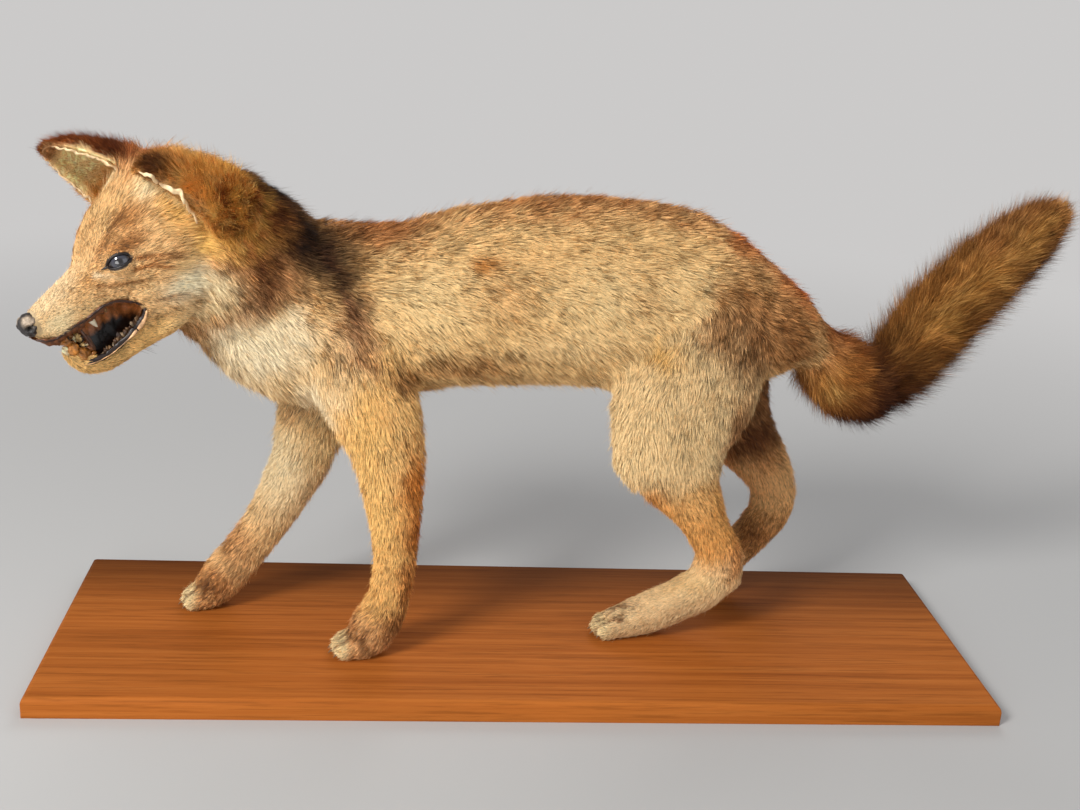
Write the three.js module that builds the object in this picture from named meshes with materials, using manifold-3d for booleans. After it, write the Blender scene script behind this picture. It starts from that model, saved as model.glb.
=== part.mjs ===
// A mounted red fox walking on a wooden board, life size, in millimetres, +Z up.
// The origin is the centre of the board's underside. The fox walks towards -X and
// its left side faces -Y. Every solid is as big as the animal with its coat on.
import * as THREE from 'three';
import { mergeVertices } from 'three/addons/utils/BufferGeometryUtils.js';
import Module from 'manifold-3d';

const wasm = await Module();
wasm.setup();

// ---------------------------------------------------------------- driving dimensions

const BOARD_LENGTH = 800;
const BOARD_WIDTH = 256;
const BOARD_THICKNESS = 18;
const BOARD_EDGE_RADIUS = 6;
const GAP = 0.3;                   // clearance between pieces that meet
const SOLE_HEIGHT = BOARD_THICKNESS + GAP;
const SPINE_TURN = 6;              // degrees that the spine is turned on the board
const SPINE_OFFSET = 19;           // how far the spine lies behind the board's middle

const HEAD_PLACE = [-340.4, -53.8, 361.2];   // the point midway between the eyes
const HEAD_YAW = 38.2;             // degrees towards the fox's left
const HEAD_PITCH = 29.1;           // degrees nose down
const HEAD_ROLL = 4.8;             // degrees left side up

const EYE_RADIUS = 10.5;
const EYE_PLACE = [-1, 23, -1.5];
const NOSE_PLACE = [75.5, 0, -7.5];
const NOSE_RADII = [9, 9.5, 9];
const EAR_THICKNESS = 3.2;
const EAR_BASE_RADIUS = 32;
const EAR_TIP_RADIUS = 5;
const EAR_ROLL = 112;              // degrees that the ear's edges are rolled round at its root
const EAR_ROLL_TIP = 72;           // and at its tip
const EAR_FULLNESS = 0.6;          // below 1 the ear stays wide before it narrows
const EAR_LEAST_HOLLOW = 0.9;
const GUM_RADIUS = 1.8;
const TOE_RADII = [10, 6.2, 8];
const TOE_SPREAD = [[-13, 0], [-4.5, -4], [4.5, -4], [13, 0]];   // [sideways, forward] of each toe
const TOE_SINK = 1;                // how far a toe is pressed flat by the board
const CLAW_RADIUS = 2;
const CLAW_TIP_RADIUS = 0.5;
const CLAW_ROOT = 4;               // how far the claw starts inside its toe
const CLAW_BEND = 3;               // where it turns down, ahead of the toe
const CLAW_REACH = 7;              // how far its tip stands ahead of the toe

const rad = THREE.MathUtils.degToRad;
const vec = (x, y, z) => new THREE.Vector3(x, y, z);
const SIDEWAYS = vec(0, 1, 0);
const LOOK_AHEAD = 0.02;           // the share of a line over which its direction is measured

// ---------------------------------------------------------------- frames

const bodyFrame = new THREE.Matrix4()
  .makeRotationZ(rad(SPINE_TURN))
  .setPosition(0, SPINE_OFFSET, 0);

// The head's own frame: x along the muzzle, y to the fox's left, z up through the crown.
const headTurn = new THREE.Euler(rad(HEAD_ROLL), rad(HEAD_PITCH), rad(180 + HEAD_YAW), 'ZYX');
const headFrame = bodyFrame.clone().multiply(
  new THREE.Matrix4().makeRotationFromEuler(headTurn).setPosition(...HEAD_PLACE));

// ---------------------------------------------------------------- stations
// Trunk, skull and jaw are set out by their outline from the side:
// [along, top, bottom, half width]. The other forms follow a line of
// [x, y, z, half width, half depth above or in front, half depth below or behind].

const TRUNK = [                    // rump to breast
  [272, 292, 277, 9],
  [258, 308, 267, 25],
  [234, 331, 257, 40],
  [208, 352, 246, 49],
  [179, 375, 234, 54],
  [137, 397, 229, 57],
  [92, 405, 232, 58],
  [50, 408, 239, 60],
  [0, 407, 241, 61],
  [-66, 396, 240, 60],
  [-115, 382, 232, 58],
  [-147, 382, 226, 58],
  [-180, 384, 222, 57],
  [-215, 378, 227, 52],
  [-249, 350, 246, 42],
  [-276, 305, 274, 17],
];

const NECK = [
  [-150, 2, 306, 44, 56, 60],
  [-180, 1, 318, 54, 54, 74],
  [-212, -1, 336, 54, 54, 82],
  [-246, -8, 360, 53, 59, 82],
  [-276, -20, 376, 47, 56, 74],
  [-296, -30, 384, 33, 38, 44],
];

// The tail runs away from the head, so its first depth lies underneath.
const TAIL_ROOT = [
  [246, 0, 280, 24, 26, 24],
  [272, 0, 261, 32, 36, 32],
  [297, 0, 246, 34, 41, 26],
  [318, 0, 245, 30, 38, 18],
];

const TAIL_MIDDLE = [
  [316, 0, 244, 28, 37, 18],
  [350, 0, 282, 33, 37, 32],
  [377, 0, 312, 32, 33, 36],
  [407, 0, 342, 30, 28, 34],
];

const TAIL_END = [
  [407, 0, 342, 30, 28, 34],
  [437, 0, 371, 26, 25, 30],
  [463, 0, 396, 18, 18, 22],
  [480, 0, 412, 6, 6, 7],
];

const SKULL = [                    // nose to nape
  [77, 0, -18, 9],
  [68, 1, -25, 12],
  [52, 3, -25, 14],
  [36, 4, -25, 17],
  [20, 7, -28, 20],
  [9, 15, -32, 26],
  [2, 20, -43, 30],
  [-5, 25, -60, 36],
  [-20, 33, -78, 46],
  [-46, 41, -81, 51],
  [-74, 43, -76, 52],
  [-98, 32, -60, 48],
  [-116, 10, -42, 35],
  [-127, -8, -26, 13],
];

const JAW = [
  [66, -36, -53, 7],
  [61, -40, -65, 10],
  [46, -56, -73, 13],
  [26, -58, -75, 16],
  [8, -57, -76, 22],
  [-10, -53, -78, 31],
  [-34, -46, -76, 36],
];

const FORELEG_LEFT = {
  upper: [
    [-152, -34, 290, 24, 48, 44],
    [-140, -40, 246, 27, 42, 43],
    [-126, -46, 206, 25, 33, 35],
    [-121, -49, 172, 21, 27, 29],
  ],
  lower: [
    [-121, -49, 172, 21, 27, 29],
    [-118, -50, 140, 18, 22, 24],
    [-117, -51, 104, 16, 18, 20],
    [-121, -51, 74, 16, 17, 20],
    [-127, -51, 54, 17, 19, 22],
  ],
  paw: [
    [-127, -51, 54, 17, 19, 22],
    [-136, -52, 39, 19, 20, 22],
    [-146, -52, 29, 20, 15, 18],
    [-156, -52, 26, 17, 9, 12],
  ],
  toes: [-157, -52],
};

const FORELEG_RIGHT = {
  upper: [
    [-160, 32, 280, 24, 44, 44],
    [-170, 38, 238, 26, 39, 40],
    [-182, 42, 200, 23, 33, 35],
    [-192, 43, 160, 21, 27, 29],
  ],
  lower: [
    [-192, 43, 160, 21, 27, 29],
    [-206, 44, 132, 18, 23, 26],
    [-223, 44, 102, 16, 19, 24],
    [-241, 45, 76, 16, 18, 23],
    [-258, 46, 54, 17, 18, 23],
  ],
  paw: [
    [-258, 46, 54, 17, 18, 23],
    [-267, 46, 41, 18, 17, 22],
    [-278, 46, 30, 19, 13, 17],
    [-286, 46, 26, 17, 9, 12],
  ],
  toes: [-286, 46],
};

const HIND_LEG_LEFT = {
  upper: [
    [154, -28, 322, 22, 48, 44],
    [146, -33, 286, 28, 62, 56],
    [134, -37, 248, 30, 70, 61],
    [122, -40, 204, 28, 63, 52],
    [129, -42, 168, 22, 46, 38],
  ],
  lower: [
    [131, -42, 166, 21, 36, 35],
    [146, -41, 138, 19, 21, 27],
    [160, -40, 114, 16, 18, 23],
    [173, -39, 94, 16, 18, 23],
  ],
  paw: [
    [173, -39, 94, 16, 18, 23],
    [174, -38, 77, 17, 20, 25],
    [157, -38, 63, 17, 17, 25],
    [132, -37, 50, 17, 15, 24],
    [104, -36, 37, 18, 14, 21],
    [80, -36, 28, 18, 11, 13],
  ],
  toes: [74, -36],
};

const HIND_LEG_RIGHT = {
  upper: [
    [170, 28, 318, 22, 46, 44],
    [174, 34, 280, 28, 54, 52],
    [181, 38, 238, 30, 52, 50],
    [197, 41, 200, 26, 42, 42],
    [216, 42, 172, 21, 32, 32],
  ],
  lower: [
    [216, 42, 172, 21, 32, 32],
    [234, 42, 150, 18, 26, 27],
    [247, 42, 130, 16, 23, 23],
    [251, 42, 112, 15, 21, 22],
  ],
  paw: [
    [251, 42, 112, 15, 21, 22],
    [246, 42, 95, 16, 21, 21],
    [232, 42, 76, 16, 19, 19],
    [214, 42, 56, 16, 17, 18],
    [204, 42, 39, 18, 14, 16],
    [192, 42, 28, 18, 10, 11],
  ],
  toes: [188, 42],
};

const EARS = {                     // root, tip, and the way the hollow faces
  ear_left: { root: [-84, 34, -18], tip: [-35, 48, 54], facing: [0.75, -0.1, -0.6] },
  ear_right: { root: [-66, -30, 4], tip: [-23, -48, 73], facing: [0.7, 0.45, -0.45] },
};

// The left half of each row: a gum ridge, [along, out, height], from the cheek to the front,
// and the teeth on it, [along, out, height, radius]. The right half mirrors it.
const UPPER_TEETH = {
  ridge: [[14, 15, -30], [36, 12.5, -26], [56, 9.5, -26], [67, 5, -25.5]],
  teeth: [[60, 8, 11, 2.4], [46, 11, 5, 2.2], [34, 12.5, 6, 2.6], [22, 14, 7, 3]],
  ridgeAt: -26,
  points: -1,
};

const LOWER_TEETH = {
  ridge: [[14, 14, -56], [28, 11, -57], [46, 8, -54], [58, 4.5, -43]],
  teeth: [[53, 6, 14, 2.4], [38, 10, 5, 2.2], [27, 11, 6, 2.6], [15, 13, 6.5, 3]],
  ridgeAt: -55,
  points: 1,
};

// ---------------------------------------------------------------- solids

function solid(geometry) {
  const bare = geometry.clone();
  bare.deleteAttribute('normal');
  bare.deleteAttribute('uv');
  const merged = mergeVertices(bare, 1e-4);
  const mesh = new wasm.Mesh({
    numProp: 3,
    vertProperties: new Float32Array(merged.attributes.position.array),
    triVerts: new Uint32Array(merged.index.array),
  });
  return new wasm.Manifold(mesh);
}

function geometryOf(manifold) {
  const mesh = manifold.getMesh();
  const geometry = new THREE.BufferGeometry();
  geometry.setAttribute('position', new THREE.BufferAttribute(mesh.vertProperties, 3));
  geometry.setIndex(new THREE.BufferAttribute(mesh.triVerts, 1));
  geometry.computeVertexNormals();
  return geometry;
}

function join(...pieces) {
  return pieces.reduce((whole, piece) => whole.add(piece));
}

// What is left of a piece once the tools have cut it, without loose slivers.
function cut(piece, ...tools) {
  const left = tools.reduce((rest, tool) => rest.subtract(tool), piece);
  return left.decompose().reduce((a, b) => (b.volume() > a.volume() ? b : a));
}

// Triangles over one end ring, wound the way the ring runs. A round ring is fanned from a
// centre point; a leaf's ring goes out along one face and back along the other.
function fanCap(ring, centre) {
  return ring.flatMap((point, j) => [centre, point, ring[(j + 1) % ring.length]]);
}

function leafCap(ring) {
  const faces = [];
  for (let j = 0; j < ring.length / 2 - 1; j += 1) {
    const back = ring.length - 1 - j;
    faces.push(ring[j], ring[j + 1], ring[back - 1], ring[j], ring[back - 1], ring[back]);
  }
  return faces;
}

// Closed skin over a stack of rings, each an array of points, with a cap at each end.
function skinRings(rings, cap = fanCap) {
  const sides = rings[0].length;
  const points = rings.flat();
  const lastRing = (rings.length - 1) * sides;
  const centre = (ring) => ring.reduce((sum, p) => sum.add(p), vec(0, 0, 0)).divideScalar(sides);
  const faces = [];
  for (let row = 0; row < lastRing; row += sides) {
    for (let j = 0; j < sides; j += 1) {
      const next = (j + 1) % sides;
      const above = row + sides;
      faces.push(row + j, above + j, row + next, row + next, above + j, above + next);
    }
  }
  const firstIndices = rings[0].map((_, j) => j);
  const lastIndices = firstIndices.map((j) => lastRing + j).reverse();
  const [low, high] = [points.length, points.length + 1];
  points.push(centre(rings[0]), centre(rings[rings.length - 1]));
  faces.push(...cap(firstIndices, low), ...cap(lastIndices, high));
  const geometry = new THREE.BufferGeometry();
  const positions = points.flatMap((p) => [p.x, p.y, p.z]);
  geometry.setAttribute('position', new THREE.Float32BufferAttribute(positions, 3));
  geometry.setIndex(faces);
  return geometry;
}

// A smooth value through hand-set ones, t from 0 at the first to 1 at the last.
function smooth(values, t) {
  const place = t * (values.length - 1);
  const i = Math.min(Math.floor(place), values.length - 2);
  const f = place - i;
  const at = (k) => values[Math.max(0, Math.min(values.length - 1, k))];
  const slopeIn = (at(i + 1) - at(i - 1)) / 2;
  const slopeOut = (at(i + 2) - at(i)) / 2;
  return (2 * f ** 3 - 3 * f ** 2 + 1) * at(i) + (f ** 3 - 2 * f ** 2 + f) * slopeIn
    + (3 * f ** 2 - 2 * f ** 3) * at(i + 1) + (f ** 3 - f ** 2) * slopeOut;
}

// One ring of a section: square above 2 fills the corners of the ellipse.
function sectionRing(middle, across, above, [width, up, down], sides, square) {
  const swell = (value) => Math.sign(value) * Math.abs(value) ** (2 / square);
  return Array.from({ length: sides }, (_, j) => {
    const turn = (2 * Math.PI * j) / sides;
    const depth = Math.sin(turn) > 0 ? up : down;
    return middle.clone()
      .addScaledVector(across, swell(Math.cos(turn)) * width)
      .addScaledVector(above, swell(Math.sin(turn)) * depth);
  });
}

// A form carried along a line of stations, its sections square to the line.
function limb(stations, { steps = 10, sides = 16, grow = 0, square = 2, frame = bodyFrame } = {}) {
  const column = (k, t) => smooth(stations.map((station) => station[k]), t);
  const line = (t) => vec(column(0, t), column(1, t), column(2, t));
  const rings = [];
  for (let i = 0; i <= steps; i += 1) {
    const t = i / steps;
    const ahead = line(Math.min(1, t + LOOK_AHEAD)).sub(line(Math.max(0, t - LOOK_AHEAD))).normalize();
    const across = SIDEWAYS.clone().addScaledVector(ahead, -SIDEWAYS.dot(ahead)).normalize();
    const above = new THREE.Vector3().crossVectors(across, ahead).normalize();
    const overrun = grow * (Number(i === steps) - Number(i === 0));
    const middle = line(t).addScaledVector(ahead, overrun);
    const reach = [3, 4, 5].map((k) => column(k, t) + grow);
    rings.push(sectionRing(middle, across, above, reach, sides, square));
  }
  return solid(skinRings(rings).applyMatrix4(frame));
}

// A form given by its outline from the side, its sections upright.
function profile(stations, { steps = 20, sides = 22, grow = 0, square = 2, frame = bodyFrame } = {}) {
  const column = (k, t) => smooth(stations.map((station) => station[k]), t);
  const direction = Math.sign(stations[stations.length - 1][0] - stations[0][0]);
  const rings = [];
  for (let i = 0; i <= steps; i += 1) {
    const t = i / steps;
    const overrun = grow * direction * (Number(i === steps) - Number(i === 0));
    const middle = (column(1, t) + column(2, t)) / 2;
    const depth = (column(1, t) - column(2, t)) / 2 + grow;
    const reach = [column(3, t) + grow, depth, depth];
    const above = vec(0, 0, -direction);
    const centre = vec(column(0, t) + overrun, 0, middle);
    rings.push(sectionRing(centre, SIDEWAYS, above, reach, sides, square));
  }
  return solid(skinRings(rings).applyMatrix4(frame));
}

function ball(centre, radii, { frame = bodyFrame, grow = 0, sides = 12 } = {}) {
  const geometry = new THREE.SphereGeometry(1, sides, Math.ceil(sides * 0.7));
  geometry.rotateX(Math.PI / 2);
  geometry.scale(...radii.map((radius) => radius + grow));
  geometry.translate(...centre);
  return solid(geometry.applyMatrix4(frame));
}

function cone(centre, radius, height, { frame = headFrame, sides = 4 } = {}) {
  const geometry = new THREE.ConeGeometry(radius, Math.abs(height), sides);
  geometry.rotateX(Math.sign(height) * (Math.PI / 2));
  geometry.translate(centre[0], centre[1], centre[2] + height / 2);
  return solid(geometry.applyMatrix4(frame));
}

// ---------------------------------------------------------------- board

function board() {
  const upright = BOARD_THICKNESS - BOARD_EDGE_RADIUS;
  const arcSteps = 5;
  const levels = [[0, 1], [1, 0], [upright, 0]];
  for (let i = 1; i <= arcSteps; i += 1) {
    const turn = (Math.PI / 2) * (i / arcSteps);
    const inset = BOARD_EDGE_RADIUS * (1 - Math.cos(turn));
    levels.push([upright + BOARD_EDGE_RADIUS * Math.sin(turn), inset]);
  }
  const corners = [[-1, -1], [-1, 1], [1, 1], [1, -1]];
  return solid(skinRings(levels.map(([z, inset]) => corners.map(([sx, sy]) => (
    vec(sx * (BOARD_LENGTH / 2 - inset), sy * (BOARD_WIDTH / 2 - inset), z))))));
}

// ---------------------------------------------------------------- ears
// A curved leaf of even thickness, rolled round its length and narrowing to the tip.

function ear({ root, tip, facing }, grow = 0) {
  const base = vec(...root);
  const axis = vec(...tip).sub(base);
  const length = axis.length() + grow;
  axis.normalize();
  const hollow = vec(...facing);
  hollow.addScaledVector(axis, -hollow.dot(axis)).normalize();
  const across = new THREE.Vector3().crossVectors(axis, hollow);
  const rows = 6;
  const columns = 7;
  const rings = [];
  for (let i = 0; i <= rows; i += 1) {
    const t = i / rows;
    const narrowing = Math.cos((t * Math.PI) / 2) ** EAR_FULLNESS;
    const radius = EAR_TIP_RADIUS + (EAR_BASE_RADIUS - EAR_TIP_RADIUS) * narrowing;
    const spread = rad(EAR_ROLL + (EAR_ROLL_TIP - EAR_ROLL) * t);
    const middle = base.clone().addScaledVector(axis, t * length);
    const leaf = (reach, from, to) => Array.from({ length: columns + 1 }, (_, j) => {
      const turn = from + ((to - from) * j) / columns;
      return middle.clone()
        .addScaledVector(hollow, -Math.cos(turn) * reach)
        .addScaledVector(across, Math.sin(turn) * reach);
    });
    const outer = leaf(radius + grow, -spread, spread);
    const inner = leaf(Math.max(radius - EAR_THICKNESS, EAR_LEAST_HOLLOW) - grow, spread, -spread);
    rings.push([...outer, ...inner]);
  }
  return solid(skinRings(rings, leafCap).applyMatrix4(headFrame));
}

// ---------------------------------------------------------------- mouth

function toothRow({ ridge, teeth, ridgeAt, points }) {
  const otherSide = ridge.map(([x, y, z]) => [x, -y, z]).reverse();
  const line = [...ridge, ...otherSide].map((point) => [...point, GUM_RADIUS, GUM_RADIUS, GUM_RADIUS]);
  const gum = limb(line, { steps: 10, sides: 4, frame: headFrame });
  const cones = [1, -1].flatMap((side) => teeth.map(([x, y, height, radius]) => (
    cone([x, side * y, ridgeAt], radius, points * height))));
  return join(gum, ...cones);
}

// ---------------------------------------------------------------- feet

function toeCentres({ toes: [x, y] }) {
  return TOE_SPREAD.map(([dy, dx]) => [x + dx, y + dy, SOLE_HEIGHT + TOE_RADII[2] - TOE_SINK]);
}

function foot(leg, grow = 0) {
  const toes = toeCentres(leg).map((centre) => ball(centre, TOE_RADII, { grow, sides: 5 }));
  return join(limb(leg.paw, { steps: 5, sides: 10, grow }), ...toes);
}

// The space taken up by the board and its clearance, which cuts the soles flat.
function underSole() {
  const depth = 60;
  const box = new THREE.BoxGeometry(BOARD_LENGTH, BOARD_WIDTH, depth);
  box.translate(0, 0, SOLE_HEIGHT - depth / 2);
  return solid(box);
}

// A claw curves forward and down from the end of its toe.
function claw([x, y, z], grow = 0) {
  const toeEnd = x - TOE_RADII[0];
  const line = [
    [toeEnd + CLAW_ROOT, y, z + 1, CLAW_RADIUS, CLAW_RADIUS, CLAW_RADIUS],
    [toeEnd - CLAW_BEND, y, z, CLAW_RADIUS, CLAW_RADIUS, CLAW_RADIUS],
    [toeEnd - CLAW_REACH, y, SOLE_HEIGHT + 1, CLAW_TIP_RADIUS, CLAW_TIP_RADIUS, CLAW_TIP_RADIUS],
  ];
  return limb(line, { steps: 2, sides: 4, grow });
}

// ---------------------------------------------------------------- the model

const group = new THREE.Group();

function addPiece(name, manifold, color, roughness = 0.95) {
  const material = new THREE.MeshStandardMaterial({ color, roughness, metalness: 0 });
  const mesh = new THREE.Mesh(geometryOf(manifold), material);
  mesh.name = name;
  group.add(mesh);
}

const COLOURS = {
  board: 0x8a4526,
  back: 0xb98c55,
  throat: 0xd8c7a2,
  limb: 0xb0793c,
  paw: 0x9a7a4a,
  tail: 0x8a5a2c,
  ear: 0x6e3f1e,
  nose: 0x2a2624,
  eye: 0x14100e,
  tooth: 0xd9cba6,
  claw: 0x2c2019,
};

// The full forms; grow gives the same form as a cutting tool, larger by the gap.
const trunk = (grow) => profile(TRUNK, { steps: 15, sides: 16, grow });
const neck = (grow) => limb(NECK, { steps: 6, sides: 18, grow });
const skull = (grow) => profile(SKULL, { steps: 17, sides: 18, square: 2.5, grow, frame: headFrame });
const jaw = (grow) => profile(JAW, { steps: 9, sides: 12, square: 2.3, grow, frame: headFrame });
const nose = () => ball(NOSE_PLACE, NOSE_RADII, { frame: headFrame, sides: 10 });
const eye = (side, grow) => {
  const [x, y, z] = EYE_PLACE;
  const radii = [EYE_RADIUS, EYE_RADIUS, EYE_RADIUS];
  return ball([x, side * y, z], radii, { frame: headFrame, grow, sides: 10 });
};
const upperLeg = (leg, grow) => limb(leg.upper, { steps: 6, sides: 14, grow });
const lowerLeg = (leg, grow) => limb(leg.lower, { steps: 5, sides: 11, grow });

const LEGS = {
  foreleg_left: FORELEG_LEFT,
  foreleg_right: FORELEG_RIGHT,
  hind_leg_left: HIND_LEG_LEFT,
  hind_leg_right: HIND_LEG_RIGHT,
};

addPiece('base_board', board(), COLOURS.board, 0.4);

const legTools = Object.values(LEGS).map((leg) => upperLeg(leg, GAP));
addPiece('trunk', cut(trunk(0), ...legTools), COLOURS.back);
addPiece('neck', cut(neck(0), trunk(GAP), ...legTools), COLOURS.throat);

const eyeTools = [eye(1, GAP), eye(-1, GAP)];
addPiece('head', cut(skull(0), neck(GAP), trunk(GAP), ...eyeTools), COLOURS.back);
addPiece('lower_jaw', cut(jaw(0), skull(GAP), neck(GAP)), COLOURS.throat);
addPiece('nose', cut(nose(), skull(GAP)), COLOURS.nose, 0.5);
addPiece('eye_left', eye(1, 0), COLOURS.eye, 0.05);
addPiece('eye_right', eye(-1, 0), COLOURS.eye, 0.05);
addPiece('upper_teeth', cut(toothRow(UPPER_TEETH), skull(GAP)), COLOURS.tooth, 0.4);
addPiece('lower_teeth', cut(toothRow(LOWER_TEETH), jaw(GAP), skull(GAP)), COLOURS.tooth, 0.4);
for (const [name, shape] of Object.entries(EARS)) {
  addPiece(name, cut(ear(shape), skull(GAP), neck(GAP)), COLOURS.ear);
}

const tailRoot = (grow) => limb(TAIL_ROOT, { steps: 5, sides: 12, grow });
const tailMiddle = (grow) => limb(TAIL_MIDDLE, { steps: 4, sides: 12, grow });
addPiece('tail_root', cut(tailRoot(0), trunk(GAP), ...legTools), COLOURS.tail);
addPiece('tail_middle', cut(tailMiddle(0), tailRoot(GAP)), COLOURS.tail);
addPiece('tail_end', cut(limb(TAIL_END, { steps: 5, sides: 12 }), tailMiddle(GAP)), COLOURS.tail);

for (const [name, leg] of Object.entries(LEGS)) {
  addPiece(`${name}_upper`, upperLeg(leg, 0), COLOURS.limb);
  addPiece(`${name}_lower`, cut(lowerLeg(leg, 0), upperLeg(leg, GAP)), COLOURS.limb);
  addPiece(`${name}_foot`, cut(foot(leg), lowerLeg(leg, GAP), underSole()), COLOURS.paw);
  toeCentres(leg).forEach((centre, index) => {
    addPiece(`${name}_claw_${index + 1}`, cut(claw(centre), foot(leg, GAP)), COLOURS.claw, 0.4);
  });
}

export default group;
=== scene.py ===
import math
from contextlib import contextmanager

import bmesh
import bpy
import numpy as np
from mathutils import Matrix, Vector
from mathutils.bvhtree import BVHTree
from mathutils.kdtree import KDTree


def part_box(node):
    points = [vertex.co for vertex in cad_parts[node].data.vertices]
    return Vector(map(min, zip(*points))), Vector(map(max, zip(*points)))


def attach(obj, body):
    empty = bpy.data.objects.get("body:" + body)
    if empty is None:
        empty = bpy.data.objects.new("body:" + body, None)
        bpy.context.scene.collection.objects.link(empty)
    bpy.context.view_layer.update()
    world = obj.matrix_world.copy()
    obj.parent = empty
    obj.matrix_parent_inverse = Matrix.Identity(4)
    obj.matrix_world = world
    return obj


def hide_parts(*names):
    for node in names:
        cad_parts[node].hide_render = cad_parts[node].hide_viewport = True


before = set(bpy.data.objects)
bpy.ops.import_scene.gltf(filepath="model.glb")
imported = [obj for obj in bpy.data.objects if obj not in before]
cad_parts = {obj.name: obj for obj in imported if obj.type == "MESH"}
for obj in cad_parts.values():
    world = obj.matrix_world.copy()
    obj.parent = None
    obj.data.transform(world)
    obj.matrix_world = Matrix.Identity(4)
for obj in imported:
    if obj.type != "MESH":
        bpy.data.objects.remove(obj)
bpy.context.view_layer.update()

MM = 0.001
LEGS = ("foreleg_left", "foreleg_right", "hind_leg_left", "hind_leg_right")
TAIL = ("tail_root", "tail_middle", "tail_end")
EARS = ("ear_left", "ear_right")
FLESH = (
    ["trunk", "neck", "head", "lower_jaw", *EARS, *TAIL]
    + [f"{leg}_{length}" for leg in LEGS for length in ("upper", "lower", "foot")]
)

# ---------------------------------------------------------------- the two frames
# Body: x towards the tail, y to the fox's right, z up.
# Head: x along the muzzle, y to the fox's left, z up through the crown.

body_to_world = Matrix.Translation((0, 0.019, 0)) @ Matrix.Rotation(math.radians(6), 4, "Z")
head_to_world = (
    body_to_world
    @ Matrix.Translation((-0.3404, -0.0538, 0.3612))
    @ Matrix.Rotation(math.radians(218.2), 4, "Z")
    @ Matrix.Rotation(math.radians(29.1), 4, "Y")
    @ Matrix.Rotation(math.radians(4.8), 4, "X")
)


def to_world(points, space):
    """Millimetres in one of the two frames to metres in the world."""
    matrix = np.array(space)
    return np.asarray(points, float) * MM @ matrix[:3, :3].T + matrix[:3, 3]


def from_world(points, space):
    matrix = np.array(space.inverted())
    return (points @ matrix[:3, :3].T + matrix[:3, 3]) / MM


def turned(vectors, space):
    return np.asarray(vectors, float) @ np.array(space)[:3, :3].T


def unit(vectors):
    return vectors / np.maximum(np.linalg.norm(vectors, axis=-1, keepdims=True), 1e-12)


def ramp(value, low, high):
    """0 below low, 1 above high, with soft ends."""
    t = np.clip((value - low) / (high - low), 0, 1)
    return t * t * (3 - 2 * t)


def shade(red, green, blue):
    """A colour as a paint chart gives it, 0 to 255, turned to linear light."""
    value = np.array([red, green, blue]) / 255
    return np.where(value <= 0.04045, value / 12.92, ((value + 0.055) / 1.055) ** 2.4)


# ---------------------------------------------------------------- mesh helpers


def new_object(name, mesh):
    thing = bpy.data.objects.new(name, mesh)
    bpy.context.scene.collection.objects.link(thing)
    return thing


def pick_nothing():
    bpy.ops.object.select_all(action="DESELECT")


def pick(*things):
    pick_nothing()
    for thing in things:
        thing.select_set(True)
    bpy.context.view_layer.objects.active = things[0]


def finish_modifier(thing, kind, **settings):
    pick(thing)
    bpy.ops.object.modifier_add(type=kind)
    modifier = thing.modifiers[-1]
    for key, value in settings.items():
        setattr(modifier, key, value)
    bpy.ops.object.modifier_apply(modifier=modifier.name)


def read(items, what, width, kind=np.float32):
    """The same few numbers of every item of a mesh, one row for each."""
    values = np.empty(len(items) * width, kind)
    items.foreach_get(what, values)
    return values.reshape(-1, width)


def corners_of(mesh):
    return read(mesh.vertices, "co", 3).astype(float)


def set_corners(mesh, co):
    mesh.vertices.foreach_set("co", co.astype(np.float32).ravel())
    mesh.update()


def normals_of(mesh):
    return read(mesh.vertices, "normal", 3).astype(float)


def edges_of(mesh):
    return read(mesh.edges, "vertices", 2, np.int32)


@contextmanager
def reworked(mesh):
    """Opens a mesh for work on its faces, and puts the result back into it."""
    work = bmesh.new()
    work.from_mesh(mesh)
    yield work
    work.to_mesh(mesh)
    work.free()


def face_outwards(mesh):
    with reworked(mesh) as work:
        bmesh.ops.recalc_face_normals(work, faces=work.faces)


def new_mesh(name, places, faces=()):
    mesh = bpy.data.meshes.new(name)
    mesh.from_pydata(np.asarray(places).tolist(), [], faces)
    return mesh


def smooth(thing):
    pick(thing)
    bpy.ops.object.shade_smooth()
    return thing


def new_ball(name, segments, rings):
    pick_nothing()
    bpy.ops.mesh.primitive_uv_sphere_add(segments=segments, ring_count=rings, radius=1)
    bpy.context.object.name = name
    return bpy.context.object


def spread(values, pairs, rounds):
    """Each vertex's value averaged with its neighbours', again and again."""
    values = np.asarray(values, float)
    flat = values.reshape(len(values), -1)
    a = np.concatenate([pairs[:, 0], pairs[:, 1]])
    b = np.concatenate([pairs[:, 1], pairs[:, 0]])
    count = np.maximum(np.bincount(a, minlength=len(flat)), 1)
    for _ in range(rounds):
        mean = np.stack(
            [np.bincount(a, flat[b, k], len(flat)) / count for k in range(flat.shape[1])], 1
        )
        flat = 0.5 * flat + 0.5 * mean
    return flat.reshape(values.shape)


def store_colour(mesh, name, colour):
    layer = mesh.attributes.new(name, "FLOAT_COLOR", "POINT")
    rgba = np.ones((len(colour), 4), np.float32)
    rgba[:, :3] = colour
    layer.data.foreach_set("color", rgba.ravel())


def store_value(mesh, name, value):
    layer = mesh.attributes.new(name, "FLOAT", "POINT")
    layer.data.foreach_set("value", np.asarray(value, np.float32))


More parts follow.
